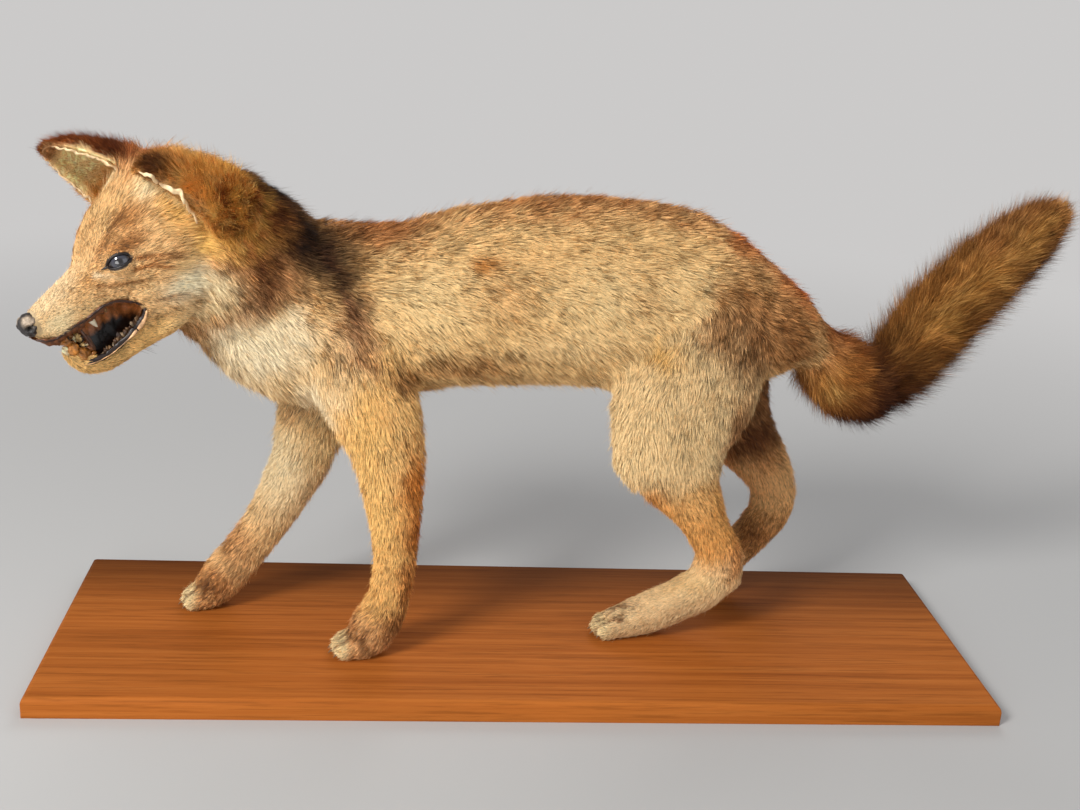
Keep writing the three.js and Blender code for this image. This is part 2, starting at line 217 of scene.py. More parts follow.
def tube(name, points, radii, space, roundness=2, closed=False):
    """A round rod along a smooth line, as thick at each point as radii says."""
    curve = bpy.data.curves.new(name, "CURVE")
    curve.dimensions = "3D"
    curve.bevel_depth = MM
    curve.bevel_resolution = roundness
    curve.resolution_u = 5
    curve.use_fill_caps = True
    spline = curve.splines.new("NURBS")
    spline.points.add(len(points) - 1)
    for point, place, radius in zip(spline.points, to_world(points, space), radii):
        point.co = (*place, 1)
        point.radius = radius
    spline.order_u = 4
    spline.use_endpoint_u = not closed
    spline.use_cyclic_u = closed
    thing = new_object(name, curve)
    pick(thing)
    bpy.ops.object.convert(target="MESH")
    return smooth(thing)


def joined(name, things):
    pick(*things)
    if len(things) > 1:
        bpy.ops.object.join()
    things[0].name = name
    things[0].data.name = name
    return things[0]


# ---------------------------------------------------------------- the lie of the coat
# Centre lines from the body outwards; the hair runs along them towards their ends.

LINES = {
    "neck": [(-300, -32, 392), (-246, -8, 356), (-180, 1, 318), (-130, 2, 300)],
    "tail": [
        (232, 0, 296), (272, 0, 262), (297, 0, 250), (318, 0, 254), (350, 0, 284),
        (377, 0, 312), (407, 0, 342), (437, 0, 371), (463, 0, 396), (486, 0, 418),
    ],
    "foreleg_left": [
        (-152, -34, 290), (-140, -40, 246), (-126, -46, 206), (-118, -50, 140),
        (-117, -51, 104), (-124, -51, 64), (-136, -52, 39), (-156, -52, 26), (-176, -52, 22),
    ],
    "foreleg_right": [
        (-160, 32, 280), (-170, 38, 238), (-182, 42, 200), (-206, 44, 132),
        (-241, 45, 76), (-262, 46, 50), (-278, 46, 30), (-300, 46, 24),
    ],
    "hind_leg_left": [
        (154, -28, 322), (146, -33, 286), (134, -37, 248), (124, -40, 200), (146, -41, 138),
        (173, -39, 94), (168, -38, 72), (132, -37, 50), (104, -36, 37), (62, -36, 26),
    ],
    "hind_leg_right": [
        (170, 28, 318), (174, 34, 280), (181, 38, 238), (197, 41, 200), (234, 42, 150),
        (251, 42, 112), (246, 42, 95), (214, 42, 56), (204, 42, 39), (176, 42, 26),
    ],
}


def along_line(points, line):
    """How far off a line each point is, and which way the line runs there."""
    stations = np.array(line, float)
    best = np.full(len(points), 1e9)
    weight_sum = np.zeros((len(points), 1))
    direction = np.zeros((len(points), 3))
    for start, end in zip(stations, stations[1:]):
        run = end - start
        share = np.clip((points - start) @ run / (run @ run), 0, 1)
        off = np.linalg.norm(points - start - share[:, None] * run, axis=1)
        weight = np.exp(-((off / 14) ** 2) / 2)[:, None] + 1e-9
        direction += weight * run / np.linalg.norm(run)
        weight_sum += weight
        best = np.minimum(best, off)
    return best, unit(direction / weight_sum)


# How the coat grows on each part: its depth inside the solid, then each tuft's length,
# width and lift off the skin in degrees, and the share of tufts with dark tips.
COAT = {
    "trunk": (7.0, 12, 0.46, 31, 0.5),
    "neck": (8.0, 14, 0.47, 34, 0.55),
    "head": (3.2, 8, 0.4, 16, 0.42),
    "lower_jaw": (1.2, 4.5, 0.36, 14, 0.2),
    "ear_left": (0.5, 12, 0.44, 40, 0.22),
    "ear_right": (0.5, 8, 0.4, 28, 0.35),
    "tail_root": (9, 17, 0.46, 32, 0.55),
    "tail_middle": (12, 23, 0.48, 40, 0.62),
    "tail_end": (9, 20, 0.46, 36, 0.6),
    "upper": (5.0, 9.5, 0.42, 30, 0.4),
    "lower": (3.2, 7.5, 0.38, 25, 0.3),
    "foot": (1.8, 4.8, 0.36, 25, 0.4),
}
LENGTH, WIDTH, LIFT, DARK = range(4)   # the columns of what grows at each vertex


def coat_of(node):
    """A solid's row of the table, where all legs share the rows of their lengths."""
    return COAT[node] if node in COAT else COAT[node.rsplit("_", 1)[1]]


# ---------------------------------------------------------------- ears
# Each ear is a rolled leaf: its root, its tip, and the way its hollow faces.

EARS_ROLLED = {
    "ear_left": ((-84, 34, -18), (-35, 48, 54), (0.75, -0.1, -0.6)),
    "ear_right": ((-66, -30, 4), (-23, -48, 73), (0.7, 0.45, -0.45)),
}
EAR_BASE_RADIUS, EAR_TIP_RADIUS, EAR_FULLNESS = 32, 5, 0.6
EAR_ROLL, EAR_ROLL_TIP = 112, 72   # half of how far round the leaf is rolled, in degrees
FOLDED_EAR_BARE = 0.3              # how much of the left ear's lining shows in its fold


def ear_axes(name):
    """An ear's root, its run to the tip, and the ways along, into the hollow and across."""
    root, tip, facing = (np.array(value, float) for value in EARS_ROLLED[name])
    run = tip - root
    along = run / np.linalg.norm(run)
    hollow = facing - along * (facing @ along)
    hollow = hollow / np.linalg.norm(hollow)
    return root, run, along, hollow, np.cross(along, hollow)


def ear_edge(name, turn, share):
    """A place on one edge of an ear, at a share of its length from the root."""
    root, run, _, hollow, across = ear_axes(name)
    radius = EAR_TIP_RADIUS + (EAR_BASE_RADIUS - EAR_TIP_RADIUS) * (
        math.cos(share * math.pi / 2) ** EAR_FULLNESS
    )
    roll = math.radians(EAR_ROLL + (EAR_ROLL_TIP - EAR_ROLL) * share)
    place = root + run * share
    return place - hollow * math.cos(roll) * radius + across * turn * math.sin(roll) * radius


def ear_inside(mesh, solid, name):
    """How far each vertex faces into the hollow of an ear, and its height up the ear."""
    root, run, along, hollow, _ = ear_axes(name)
    inward = normals_of(mesh) @ turned(hollow, head_to_world)
    height = (from_world(corners_of(mesh), head_to_world) - root) @ along
    height = height / np.linalg.norm(run)
    bare = FOLDED_EAR_BARE if name == "ear_left" else 1.0
    bare = bare * on_solids(solid, [name])
    return bare * ramp(inward, 0.0, 0.3) * ramp(height, 0.02, 0.2), height


# The edges of the lips, on the left side of the head.
UPPER_LIP = [
    (78, 5, -16.5), (73.5, 9, -20.5), (67, 11, -23), (60, 12.3, -22.8), (52, 14, -22.8),
    (43, 16, -23.4), (33, 18, -22.4), (26, 20, -22), (17, 23, -24.4), (9, 26.5, -31), (4, 28, -38),
]
LOWER_LIP = [
    (3.6, 28, -42), (9, 25, -48.5), (17, 21.5, -53), (28, 17, -56.5), (40, 14.5, -58),
    (51.5, 12.3, -57), (60, 8.5, -54.5), (65, 3, -52),
]

# ---------------------------------------------------------------- skin
# Copies of the flesh solids, swollen just enough to close the cuts between them, are
# joined, remeshed as one closed skin, and drawn in by the depth of the coat.

CUT_CLOSING = 0.9
SKIN_VOXEL = 3.1
SKIN_EASING = 24    # how many rounds even out the coat's depth between two parts
EAR_DEPTH = 0.5     # the ears are thin, so their skin hardly draws in
FACE_DEPTH = 1.2    # how far it draws in on the muzzle
SKULL_DEPTH = 3.6   # and how much further on the crown
TAIL_SHARE = 0.42   # the tail's draws in by no more of its radius than this
EYE_RADIUS = 10.5
EYE_PLACE = np.array([-1, 23, -1.5])
# The opening between the lids: its own axes on the left eye, and its half length,
# upper and lower heights.
LID_ALONG = unit(np.array([0.86, -0.51, 0.05]))
LID_FACING = unit(np.array([0.45, 0.82, 0.35]))
LID_UP = np.cross(LID_ALONG, LID_FACING)
LID_HALF, LID_TOP, LID_BOTTOM = 10.0, 5.7, 3.5
LID_THICKNESS = 1.2
LID_REACH = 5       # how far off the eyeball skin still counts as its lids
SOCKET_DEPTH = 2.5  # how far the skin dives below the eyeball's surface


def swollen_copy(node):
    """A copy of a solid, a little thicker all round."""
    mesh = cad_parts[node].data.copy()
    mesh.materials.clear()
    with reworked(mesh) as work:
        bmesh.ops.remove_doubles(work, verts=work.verts, dist=1e-6)
        bmesh.ops.recalc_face_normals(work, faces=work.faces)
        work.normal_update()
        for vertex in work.verts:
            vertex.co += vertex.normal * CUT_CLOSING * MM
    return new_object(f"{node}_form", mesh)


# Flesh that fills creases between the solids: the web at each corner of the mouth, the
# folded left ear, which lies on the forehead, and the sharp bend of the tail.
CORNER_WEB = [
    (3, 29.4, -39), (2, 29, -47), (-5, 31.5, -29), (-8, 31, -58), (-16, 33, -42),
    (3, 22, -39), (2, 22, -47), (-5, 20, -30), (-8, 20, -58), (-16, 20, -42),
    (11, 26.3, -27), (11, 20, -27),
]
EAR_FRONT = [
    (-50, 16, 42), (-53, 29, 38), (-55, 36, 33), (-57, 43, 27), (-60, 46, 22),
    (-58, 50, 13), (-58, 53, 6), (-60, 54, -4),
]
EAR_BEHIND = [
    (-75, 63, -24), (-70, 67, -12), (-64, 68, 4), (-58, 68, 20), (-50, 63, 36), (-43, 58, 47),
]
EAR_FOLD_INWARD = np.array([-0.3, -0.87, -0.37]) * 11
TAIL_BEND = [
    (300, 0, 207), (327, 0, 205), (344, 0, 222), (357, 0, 233), (374, 0, 247),
    (305, -22, 232), (325, -22, 232), (345, -22, 250), (365, -20, 268),
    (305, 22, 232), (325, 22, 232), (345, 22, 250), (365, 20, 268),
]
# How much of each solid is taken in where two meet: on the legs, at the bend of the tail,
# and where the rump slopes down to the tail, above the given height.
JOINT_REACH, BEND_REACH, SADDLE_REACH = 15, 20, 24
SADDLE_LOWEST = 0.25


def flesh_between(name, places):
    """A closed hull over some places of the world."""
    mesh = new_mesh(name, places)
    with reworked(mesh) as work:
        made = bmesh.ops.convex_hull(work, input=work.verts)
        left_over = made["geom_interior"] + made["geom_unused"]
        spare = {item for item in left_over if isinstance(item, bmesh.types.BMVert)}
        bmesh.ops.delete(work, geom=list(spare), context="VERTS")
        bmesh.ops.recalc_face_normals(work, faces=work.faces)
    return new_object(name, mesh)


def joint_filler(first, second, reach, lowest=0.0):
    """Flesh over the crease between two solids: a hull over their corners nearby."""
    places = []
    for here, other in ((first, second), (second, first)):
        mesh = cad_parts[other].data
        sides = [tuple(polygon.vertices) for polygon in mesh.polygons]
        tree = BVHTree.FromPolygons([vertex.co for vertex in mesh.vertices], sides)
        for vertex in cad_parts[here].data.vertices:
            if vertex.co.z > lowest and tree.find_nearest(vertex.co)[3] < reach * MM:
                places.append(tuple(vertex.co))
    return flesh_between(f"{first}_joint", places)


def added_flesh():
    """Hulls that fill the creases between the solids."""
    fold = np.array(EAR_FRONT + EAR_BEHIND, float)
    fold = np.concatenate([fold, fold + EAR_FOLD_INWARD])
    pieces = [flesh_between("ear_fold", to_world(fold, head_to_world))]
    for side in (1, -1):
        corner = to_world(np.array(CORNER_WEB) * [1, side, 1], head_to_world)
        pieces.append(flesh_between("mouth_corner", corner))
        rear_lip = np.array(LOWER_LIP[:4]) - [0.5, 0.5, 0]
        below = rear_lip + [-3, 0.5, -11]
        rear_lip = np.concatenate([rear_lip, rear_lip - [0, 4, 0], below, below - [0, 5, 0]])
        rear_lip = to_world(rear_lip * [1, side, 1], head_to_world)
        pieces.append(flesh_between("rear_lip", rear_lip))
    for leg in LEGS:
        pieces.append(joint_filler(f"{leg}_upper", f"{leg}_lower", JOINT_REACH))
        pieces.append(joint_filler(f"{leg}_lower", f"{leg}_foot", JOINT_REACH))
    pieces.append(joint_filler("tail_root", "tail_middle", BEND_REACH))
    pieces.append(flesh_between("tail_bend", to_world(TAIL_BEND, body_to_world)))
    pieces.append(joint_filler("trunk", "tail_root", SADDLE_REACH, SADDLE_LOWEST))
    return pieces


def solids_tree():
    """A search tree over the flesh solids, and which solid each of its faces is on."""
    places, faces, owners = [], [], []
    for index, node in enumerate(FLESH):
        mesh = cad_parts[node].data
        start = len(places)
        places += [vertex.co.copy() for vertex in mesh.vertices]
        for polygon in mesh.polygons:
            faces.append([start + v for v in polygon.vertices])
            owners.append(index)
    return BVHTree.FromPolygons(places, faces), owners


def which_solid(co):
    """For each place, the number of the flesh solid that it is nearest to."""
    tree, owners = solids_tree()
    return np.array([owners[tree.find_nearest(Vector(place))[2]] for place in co])


def on_solids(solid, nodes):
    """Whether each vertex is on one of the named solids."""
    return np.isin(solid, [FLESH.index(name) for name in nodes])


def lid_place(local, side):
    """Where points of the head lie on the opening between the lids: along, up, and out."""
    from_eye = local * [1, side, 1] - EYE_PLACE
    return from_eye @ LID_ALONG, from_eye @ LID_UP, np.linalg.norm(from_eye, axis=1), from_eye


def lid_edge(along):
    """The heights of the upper and lower lid at a place along the opening."""
    rest = np.clip(1 - (along / LID_HALF) ** 2, 0, 1)
    return LID_TOP * rest**0.62, -LID_BOTTOM * rest**0.75


def inside_lids(local, side):
    """Above 0 inside the opening, in about millimetres, and 0 elsewhere or behind."""
    along, up, _, from_eye = lid_place(local, side)
    top, bottom = lid_edge(along)
    depth = np.minimum(top - up, up - bottom)
    return np.where((from_eye @ LID_FACING > 0) & (np.abs(along) < LID_HALF), depth, -1)


def lid_distance(local):
    """How far each point of the head is from the nearer eye's opening."""
    nearest = np.full(len(local), 1e3)
    for side in (1, -1):
        along, up, away, _ = lid_place(local, side)
        top, bottom = lid_edge(along)
        past_end = np.maximum(np.abs(along) - LID_HALF, 0)
        past_lid = np.maximum(np.maximum(up - top, bottom - up), 0)
        off = np.hypot(past_end, past_lid)
        nearest = np.minimum(nearest, np.where(away < EYE_RADIUS + 16, off, 1e3))
    return nearest


# Swellings and hollows that the head's plain form lacks, on both sides of it: place,
# reach, and how far the skin moves out.
HEAD_FORMS = [
    ((-8, 29, 10), (15, 10, 6), 2.2),      # brow
    ((4, 27, -9), (13, 9, 5), 1.2),        # under the eye
    ((16, 17, -4), (8, 8, 5), -1.4),       # before the inner corner
    ((-24, 44, -14), (18, 14, 10), 1.6),   # cheekbone
    ((-22, 40, -3), (13, 8, 3), -1.0),     # fold behind the eye
    ((-36, 30, 30), (18, 16, 12), -1.4),   # temple
    ((-14, 0, 30), (26, 5, 12), -1.4),     # furrow of the forehead
    ((52, 11, -14), (15, 8, 8), 1.3),      # whisker pad
    ((30, 16, 2), (18, 7, 8), -1.5),       # side of the bridge
    ((8, 30, -22), (18, 10, 3), -0.9),     # fold above the lip
    ((-2, 34, -30), (14, 10, 4), 1.2),     # flesh above the corner of the mouth
]

# How far the mouth's roof, its floor and its throat are hollowed.
ROOF_LIFT, FLOOR_SINK, THROAT_BACK = 7.0, 6.0, 9.0

# The tail's skin is drawn in towards this place by a share, to leave room for the hair at
# its tip, which runs on along the tail.
TIP_FROM = np.array([446.0, 0.0, 380.0])
TIP_RUN = unit(np.array([0.72, 0.0, 0.69]))
TIP_SHRINK = 0.34


def build_skin():
    """One closed skin over all the flesh, lying as deep as the coat on it is thick."""
    forms = [swollen_copy(node) for node in [*FLESH, "eye_left", "eye_right"]]
    forms += added_flesh()
    skin = joined("fox_skin", forms)
    finish_modifier(skin, "REMESH", mode="VOXEL", voxel_size=SKIN_VOXEL * MM)
    finish_modifier(skin, "SMOOTH", factor=0.5, iterations=4)
    mesh = skin.data

    co = corners_of(mesh)
    pairs = edges_of(mesh)
    solid = which_solid(co)
    depth = np.array([coat_of(node)[0] for node in FLESH])[solid]
    body = from_world(co, body_to_world)
    head = from_world(co, head_to_world)
    on_head = on_solids(solid, ["head"])
    depth[on_head] = (FACE_DEPTH + SKULL_DEPTH * ramp(-head[:, 0], -5, 45))[on_head]
    on_tail = on_solids(solid, TAIL)
    off_axis, _ = along_line(body, LINES["tail"])
    depth[on_tail] = np.minimum(depth, TAIL_SHARE * off_axis)[on_tail]
    depth = spread(depth, pairs, SKIN_EASING)
    depth[on_solids(solid, EARS)] = EAR_DEPTH
    depth = spread(depth, pairs, 3)
    normals = spread(normals_of(mesh), pairs, 2)
    co = co - unit(normals) * (depth * MM)[:, None]
    past = np.clip((body - TIP_FROM) @ TIP_RUN, 0, 60) * (body[:, 0] > TIP_FROM[0] - 30)
    co = co - turned((TIP_SHRINK * past)[:, None] * TIP_RUN * MM, body_to_world)
    set_corners(mesh, co)
    return skin


def refine_face(skin):
    """Splits the faces round the eyes, the mouth and the nose into smaller ones."""
    for eye_reach, with_muzzle in ((20, True), (16, False)):
        co = from_world(corners_of(skin.data), head_to_world)
        wanted = with_muzzle & (co[:, 0] > -12) & (np.linalg.norm(co, axis=1) < 96)
        for side in (1, -1):
            wanted |= lid_place(co, side)[2] < eye_reach
        with reworked(skin.data) as work:
            edges = [edge for edge in work.edges if all(wanted[v.index] for v in edge.verts)]
            bmesh.ops.subdivide_edges(work, edges=edges, cuts=1, use_grid_fill=True, smooth=0.6)


def hollow_mouth(local, normals, pairs, in_reach):
    """Hollows the mouth's roof, floor and throat, so that lips stand round them."""
    forward = ramp(local[:, 0], -4, 6) * ramp(-local[:, 0], -68, -58)
    half_upper = np.interp(local[:, 0], [-10, 10, 30, 50, 64], [27, 20, 14.5, 11, 8])
    roof = (normals[:, 2] < -0.35) & (local[:, 2] > -46) & (local[:, 2] < -12)
    lift = ROOF_LIFT * forward * ramp(half_upper - np.abs(local[:, 1]), 0, 4) * roof
    half_lower = np.interp(local[:, 0], [-10, 8, 26, 46, 60], [24, 19, 13.5, 9.5, 5.5])
    floor = (normals[:, 2] > 0.3) & (local[:, 2] < -34) & (local[:, 2] > -70)
    sink = FLOOR_SINK * ramp(local[:, 0], -4, 8) * ramp(-local[:, 0], -62, -54)
    sink = sink * ramp(half_lower - np.abs(local[:, 1]), 0, 4) * floor
    throat = (normals[:, 0] > 0.3) & (local[:, 2] < -24) & (local[:, 2] > -60)
    back = THROAT_BACK * ramp(local[:, 0], -18, -8) * ramp(-local[:, 0], -20, -12)
    back = back * ramp(22 - np.abs(local[:, 1]), 0, 6) * throat
    lip_at = np.array(UPPER_LIP)[::-1]
    lip_height = np.interp(local[:, 0], lip_at[:, 0], lip_at[:, 2])
    lip_aside = np.interp(local[:, 0], lip_at[:, 0], lip_at[:, 1])
    near_lip = ramp(np.abs(local[:, 1]), lip_aside - 7, lip_aside - 3)
    hang = ramp(-normals[:, 2], -0.35, 0.4) * near_lip
    hang = hang * ramp(local[:, 0], 4, 10) * ramp(-local[:, 0], -72, -64)
    above = np.clip(local[:, 2] - lip_height, 0, 9) * (local[:, 2] - lip_height < 12)
    push = np.stack([-back, np.zeros(len(back)), lift * (1 - hang) - sink - above * hang], 1)
    push = np.where(in_reach[:, None], push, 0)
    local += spread(push, pairs, 2)
    hollowed = (back + lift + sink) * in_reach * ramp(lip_aside - np.abs(local[:, 1]), 1.5, 5)
    return local, np.clip(spread(hollowed, pairs, 2) / 3, 0, 1)


def open_lids(local):
    """Lays the lids close over each eyeball and dives behind it in their opening."""
    opening = np.zeros(len(local))
    for side in (1, -1):
        _, _, away, from_eye = lid_place(local, side)
        near = (away < EYE_RADIUS + 9) & (from_eye @ LID_FACING > -3)
        close = near & (away < EYE_RADIUS + LID_REACH)
        inner = inside_lids(local, side)
        cover = EYE_RADIUS + LID_THICKNESS
        wanted = np.where(close, np.maximum(away, cover), away)
        over = ramp(away, EYE_RADIUS + LID_REACH, EYE_RADIUS + 2)
        pressed = cover + (away - cover) * (1 - 0.55 * over)
        wanted = np.where(close & (away > cover), pressed, wanted)
        wanted = np.where(near & (inner > 0.2), EYE_RADIUS - SOCKET_DEPTH, wanted)
        moved = EYE_PLACE + unit(from_eye) * wanted[:, None]
        local = np.where(close[:, None], moved * [1, side, 1], local)
        opening = np.maximum(opening, near * ramp(inner, -1.4, 0.6))
    return local, opening


def shape_face(skin):
    """Sculpts the head, and says how far each vertex is inside the mouth or the lids."""
    mesh = skin.data
    local = from_world(corners_of(mesh), head_to_world)
    normals = unit(np.linalg.solve(np.array(head_to_world)[:3, :3], normals_of(mesh).T).T)
    in_reach = (local[:, 0] > -80) & (local[:, 0] < 90) & (np.linalg.norm(local, axis=1) < 130)
    for place, reach, amount in HEAD_FORMS:
        for side in (1, -1) if place[1] else (1,):
            away = ((local - np.array(place) * [1, side, 1]) / reach) ** 2
            local += normals * (amount * np.exp(-away.sum(1)) * in_reach)[:, None]
    local, inside_mouth = hollow_mouth(local, normals, edges_of(mesh), in_reach)
    local, opening = open_lids(local)
    set_corners(mesh, to_world(local, head_to_world))
    return inside_mouth, opening


# ---------------------------------------------------------------- markings
# Each is a soft patch: colour, how strong it is, its place and its reach; or a soft band
# along a line with its width. Skin and coat take the same markings.

CREAM = shade(238, 214, 180)
BUFF = shade(228, 192, 142)
PALE_STRAW = shade(222, 188, 138)
STRAW = shade(206, 166, 114)
HONEY = shade(236, 186, 114)
GOLD = shade(204, 154, 82)
ORANGE = shade(184, 114, 50)
TAN = shade(176, 128, 82)
BROWN = shade(132, 84, 46)
GREY_BROWN = shade(138, 100, 66)
# dark fur and painted shade in the crease behind the head
DARK_FUR_AND_CREASE_SHADE = shade(18, 8, 6)
EAR_CREAM = shade(255, 216, 160)
LIP = shade(38, 24, 20)
# painted shadow: the near black deep inside the mouth
MOUTH_SHADOW_BLACK = shade(18, 10, 8)
PALATE = shade(136, 82, 42)

# How bright the eye takes each primary to be, and how pale and dark fur lean in hue.
BRIGHTNESS = np.array([0.2126, 0.7152, 0.0722])
GREYER, REDDER = np.array([1.0, 1.09, 1.1]), np.array([1.0, 0.94, 0.84])

BASE_COLOURS = {
    "trunk": STRAW,
    "neck": shade(166, 124, 84),
    "head": shade(208, 164, 114),
    "lower_jaw": shade(196, 154, 98),
    "ear_left": shade(248, 188, 108),
    "ear_right": shade(124, 66, 30),
    "tail_root": shade(136, 88, 44),
    "tail_middle": shade(156, 112, 62),
    "tail_end": shade(152, 108, 64),
    "foreleg_left_upper": shade(222, 174, 112),
    "foreleg_left_lower": shade(210, 158, 94),
    "foreleg_left_foot": shade(184, 136, 90),
    "foreleg_right_upper": shade(208, 170, 118),
    "foreleg_right_lower": shade(206, 164, 114),
    "foreleg_right_foot": shade(176, 130, 84),
    "hind_leg_left_upper": shade(212, 178, 132),
    "hind_leg_left_lower": shade(206, 148, 84),
    "hind_leg_left_foot": shade(244, 204, 154),
    "hind_leg_right_upper": GREY_BROWN,
    # the far shank is paler than the near one: its fur's colour, partly painted light
    "hind_leg_right_lower": shade(222, 172, 116),
    "hind_leg_right_foot": shade(184, 138, 88),
}

BODY_PATCHES = [   # colour, strength, place, reach, on both sides
    (shade(148, 97, 55), 0.8, (-20, 0, 402), (180, 44, 18)),  # along the back
    (shade(124, 70, 34), 0.9, (10, 0, 412), (150, 40, 9)),
    (shade(134, 80, 42), 0.9, (-140, 0, 376), (54, 38, 22)),  # withers
    (shade(150, 104, 64), 0.85, (136, 0, 400), (50, 42, 18)),
    (shade(156, 84, 36), 1.0, (184, 0, 376), (40, 52, 25)),  # top of the rump
    (shade(158, 84, 35), 1.0, (226, 0, 334), (42, 42, 34)),
    (shade(132, 74, 34), 1.0, (264, 0, 292), (28, 26, 20)),
    (PALE_STRAW, 0.9, (-100, 56, 332), (36, 22, 38)),  # flank
    (TAN, 0.35, (-36, 60, 336), (24, 22, 20)),
    (PALE_STRAW, 0.9, (54, 60, 330), (56, 22, 34)),
    (PALE_STRAW, 0.6, (112, 52, 342), (28, 18, 20)),
    (shade(120, 82, 47), 0.85, (-72, 54, 272), (52, 24, 15)),  # edge of the belly
    (BUFF, 0.6, (14, 54, 292), (46, 22, 14)),
    (BUFF, 0.6, (20, 0, 246), (130, 36, 20)),  # belly
    (shade(118, 80, 48), 0.95, (190, 54, 308), (42, 26, 50)),  # haunch
    (shade(122, 82, 48), 0.95, (220, 48, 288), (28, 28, 36)),
    (shade(132, 90, 52), 0.7, (146, 58, 304), (18, 18, 22)),
    (shade(112, 72, 40), 0.75, (160, 54, 336), (28, 22, 20)),
    (shade(176, 134, 86), 0.6, (78, 60, 334), (22, 20, 20)),
    (GOLD, 0.85, (99, 58, 284), (18, 16, 16)),
    (BUFF, 1.0, (78, 50, 216), (26, 42, 52)),  # front of the thigh
    (shade(216, 180, 132), 0.85, (126, 66, 212), (24, 18, 44)),
    (shade(118, 76, 44), 0.85, (176, 56, 214), (18, 28, 40)),
    (CREAM, 1.0, (-228, 38, 288), (38, 40, 28)),  # breast
    (CREAM, 0.8, (-206, 50, 306), (20, 18, 16)),
    (CREAM, 0.9, (-258, 34, 290), (18, 20, 16)),
    (shade(228, 194, 148), 0.8, (-160, 60, 262), (16, 18, 20)),
    (CREAM, 0.9, (-182, 36, 240), (20, 30, 26)),
    (CREAM, 0.5, (-240, 0, 262), (34, 36, 30)),
    (shade(170, 132, 88), 0.85, (-272, 22, 288), (15, 30, 22)),
    (shade(164, 130, 98), 0.8, (-160, 56, 296), (22, 18, 28)),  # shoulder
    # brown fur and painted shade behind the jaw
    (shade(104, 64, 37), 0.6, (-220, 56, 353), (20, 18, 20)),  # behind the jaw
    (shade(150, 112, 76), 0.8, (-194, 56, 330), (16, 18, 16)),  # side of the neck
    (shade(70, 38, 22), 0.95, (-262, 10, 420), (26, 42, 12)),
    # dark brown fur, partly painted shade under the root of the tail
    (shade(78, 46, 26), 0.95, (300, 0, 222), (26, 32, 14)),  # under the root of the tail
    (shade(206, 158, 92), 0.95, (262, 24, 248), (15, 20, 17)),
    (shade(160, 106, 54), 0.8, (284, 27, 264), (18, 16, 12)),
    (shade(60, 35, 21), 0.95, (310, 0, 242), (25, 44, 36)),  # the bend of the tail
    (shade(190, 148, 96), 0.8, (472, 0, 404), (14, 28, 14)),  # the tip of the tail
    (shade(112, 72, 38), 0.55, (438, 22, 390), (16, 20, 14)),
]

LEFT_PATCHES = [   # on the left side only
    (shade(150, 96, 38), 0.9, (-54, -54, 357), (11, 20, 8)),  # a stain on the flank
    (shade(86, 50, 28), 0.9, (-110, -58, 262), (12, 16, 10)),  # behind the elbow
    (HONEY, 0.85, (-144, -64, 214), (17, 22, 48)),  # foreleg
    (HONEY, 0.75, (-132, -60, 148), (13, 20, 34)),
    (ORANGE, 0.95, (-103, -60, 180), (13, 24, 32)),
    (shade(150, 86, 34), 0.9, (-99, -58, 132), (11, 24, 28)),
    (shade(136, 82, 38), 0.85, (-106, -60, 84), (9, 20, 26)),
    (shade(112, 68, 38), 0.8, (-114, -62, 50), (12, 18, 13)),
    (shade(120, 76, 46), 0.7, (-152, -52, 50), (8, 14, 9)),
    (BUFF, 0.75, (-164, -54, 31), (13, 26, 8)),
    (shade(190, 144, 90), 0.85, (140, -56, 157), (18, 24, 22)),  # hock
    (shade(166, 112, 56), 0.85, (100, -56, 160), (18, 30, 14)),
    (shade(240, 198, 142), 0.95, (146, -46, 72), (34, 22, 13)),
    (shade(152, 98, 50), 0.85, (184, -46, 92), (12, 24, 22)),
    (shade(144, 104, 72), 0.7, (92, -40, 49), (13, 12, 6)),
    (BUFF, 0.75, (68, -38, 28), (13, 26, 8)),
]

RIGHT_PATCHES = [   # on the right side only
    # dark brown fur, darkened further as painted shade at the rear of the far leg
    (shade(78, 42, 22), 0.9, (222, 34, 180), (32, 34, 22)),  # rear of the far leg
    (shade(112, 70, 38), 0.45, (234, 34, 156), (22, 28, 14)),
    (shade(120, 78, 44), 0.7, (232, 38, 82), (18, 28, 16)),
    # the far foreleg's cream middle, paler than its fur: partly painted light
    (shade(250, 220, 176), 0.95, (-208, 34, 156), (26, 26, 42)),
    (shade(148, 102, 62), 0.75, (-248, 44, 84), (18, 26, 24)),
    (shade(146, 98, 52), 0.5, (-200, 26, 208), (16, 26, 14)),
    (shade(136, 90, 52), 0.8, (-266, 42, 48), (15, 24, 13)),
    (BUFF, 0.75, (-292, 44, 30), (12, 28, 9)),
    (BUFF, 0.6, (182, 42, 28), (12, 26, 8)),
]

BODY_BANDS = [   # colour, strength, width, the line on the fox's right side (mirrored)
    # dark fur and painted shade in the crease where the head turns on the neck
    (shade(40, 19, 11), 0.95, 18, [(-222, 34, 404), (-208, 44, 388), (-194, 42, 374)]),
    (DARK_FUR_AND_CREASE_SHADE, 1.0, 28, [(-228, 0, 408), (-210, 26, 400), (-194, 31, 384), (-178, 36, 366)]),
    (shade(44, 23, 14), 0.95, 15, [(-178, 38, 364), (-168, 47, 346), (-158, 54, 326)]),
    (shade(118, 82, 58), 0.85, 9, [(-160, 54, 328), (-150, 58, 304), (-138, 62, 278)]),
    # brown fur and painted shade behind the jaw, then painted shadow in a line under the jowl
    (shade(74, 40, 20), 1.0, 14, [(-233, 58, 374), (-226, 58, 352), (-226, 56, 332)]),
    (shade(112, 76, 44), 0.85, 6, [(-272, 38, 299), (-256, 48, 309), (-234, 54, 320)]),
    # the tail's own colour, with painted shade along its underside and a painted highlight in the
    # golden band along its top
    (shade(62, 33, 22), 0.95, 26, [(300, 0, 214), (334, 0, 234), (374, 0, 266), (418, 0, 314),
                                   (450, 0, 350)]),
    (shade(206, 158, 88), 0.7, 12, [(346, 26, 300), (378, 27, 330), (412, 26, 362),
                                    (446, 20, 392)]),
]

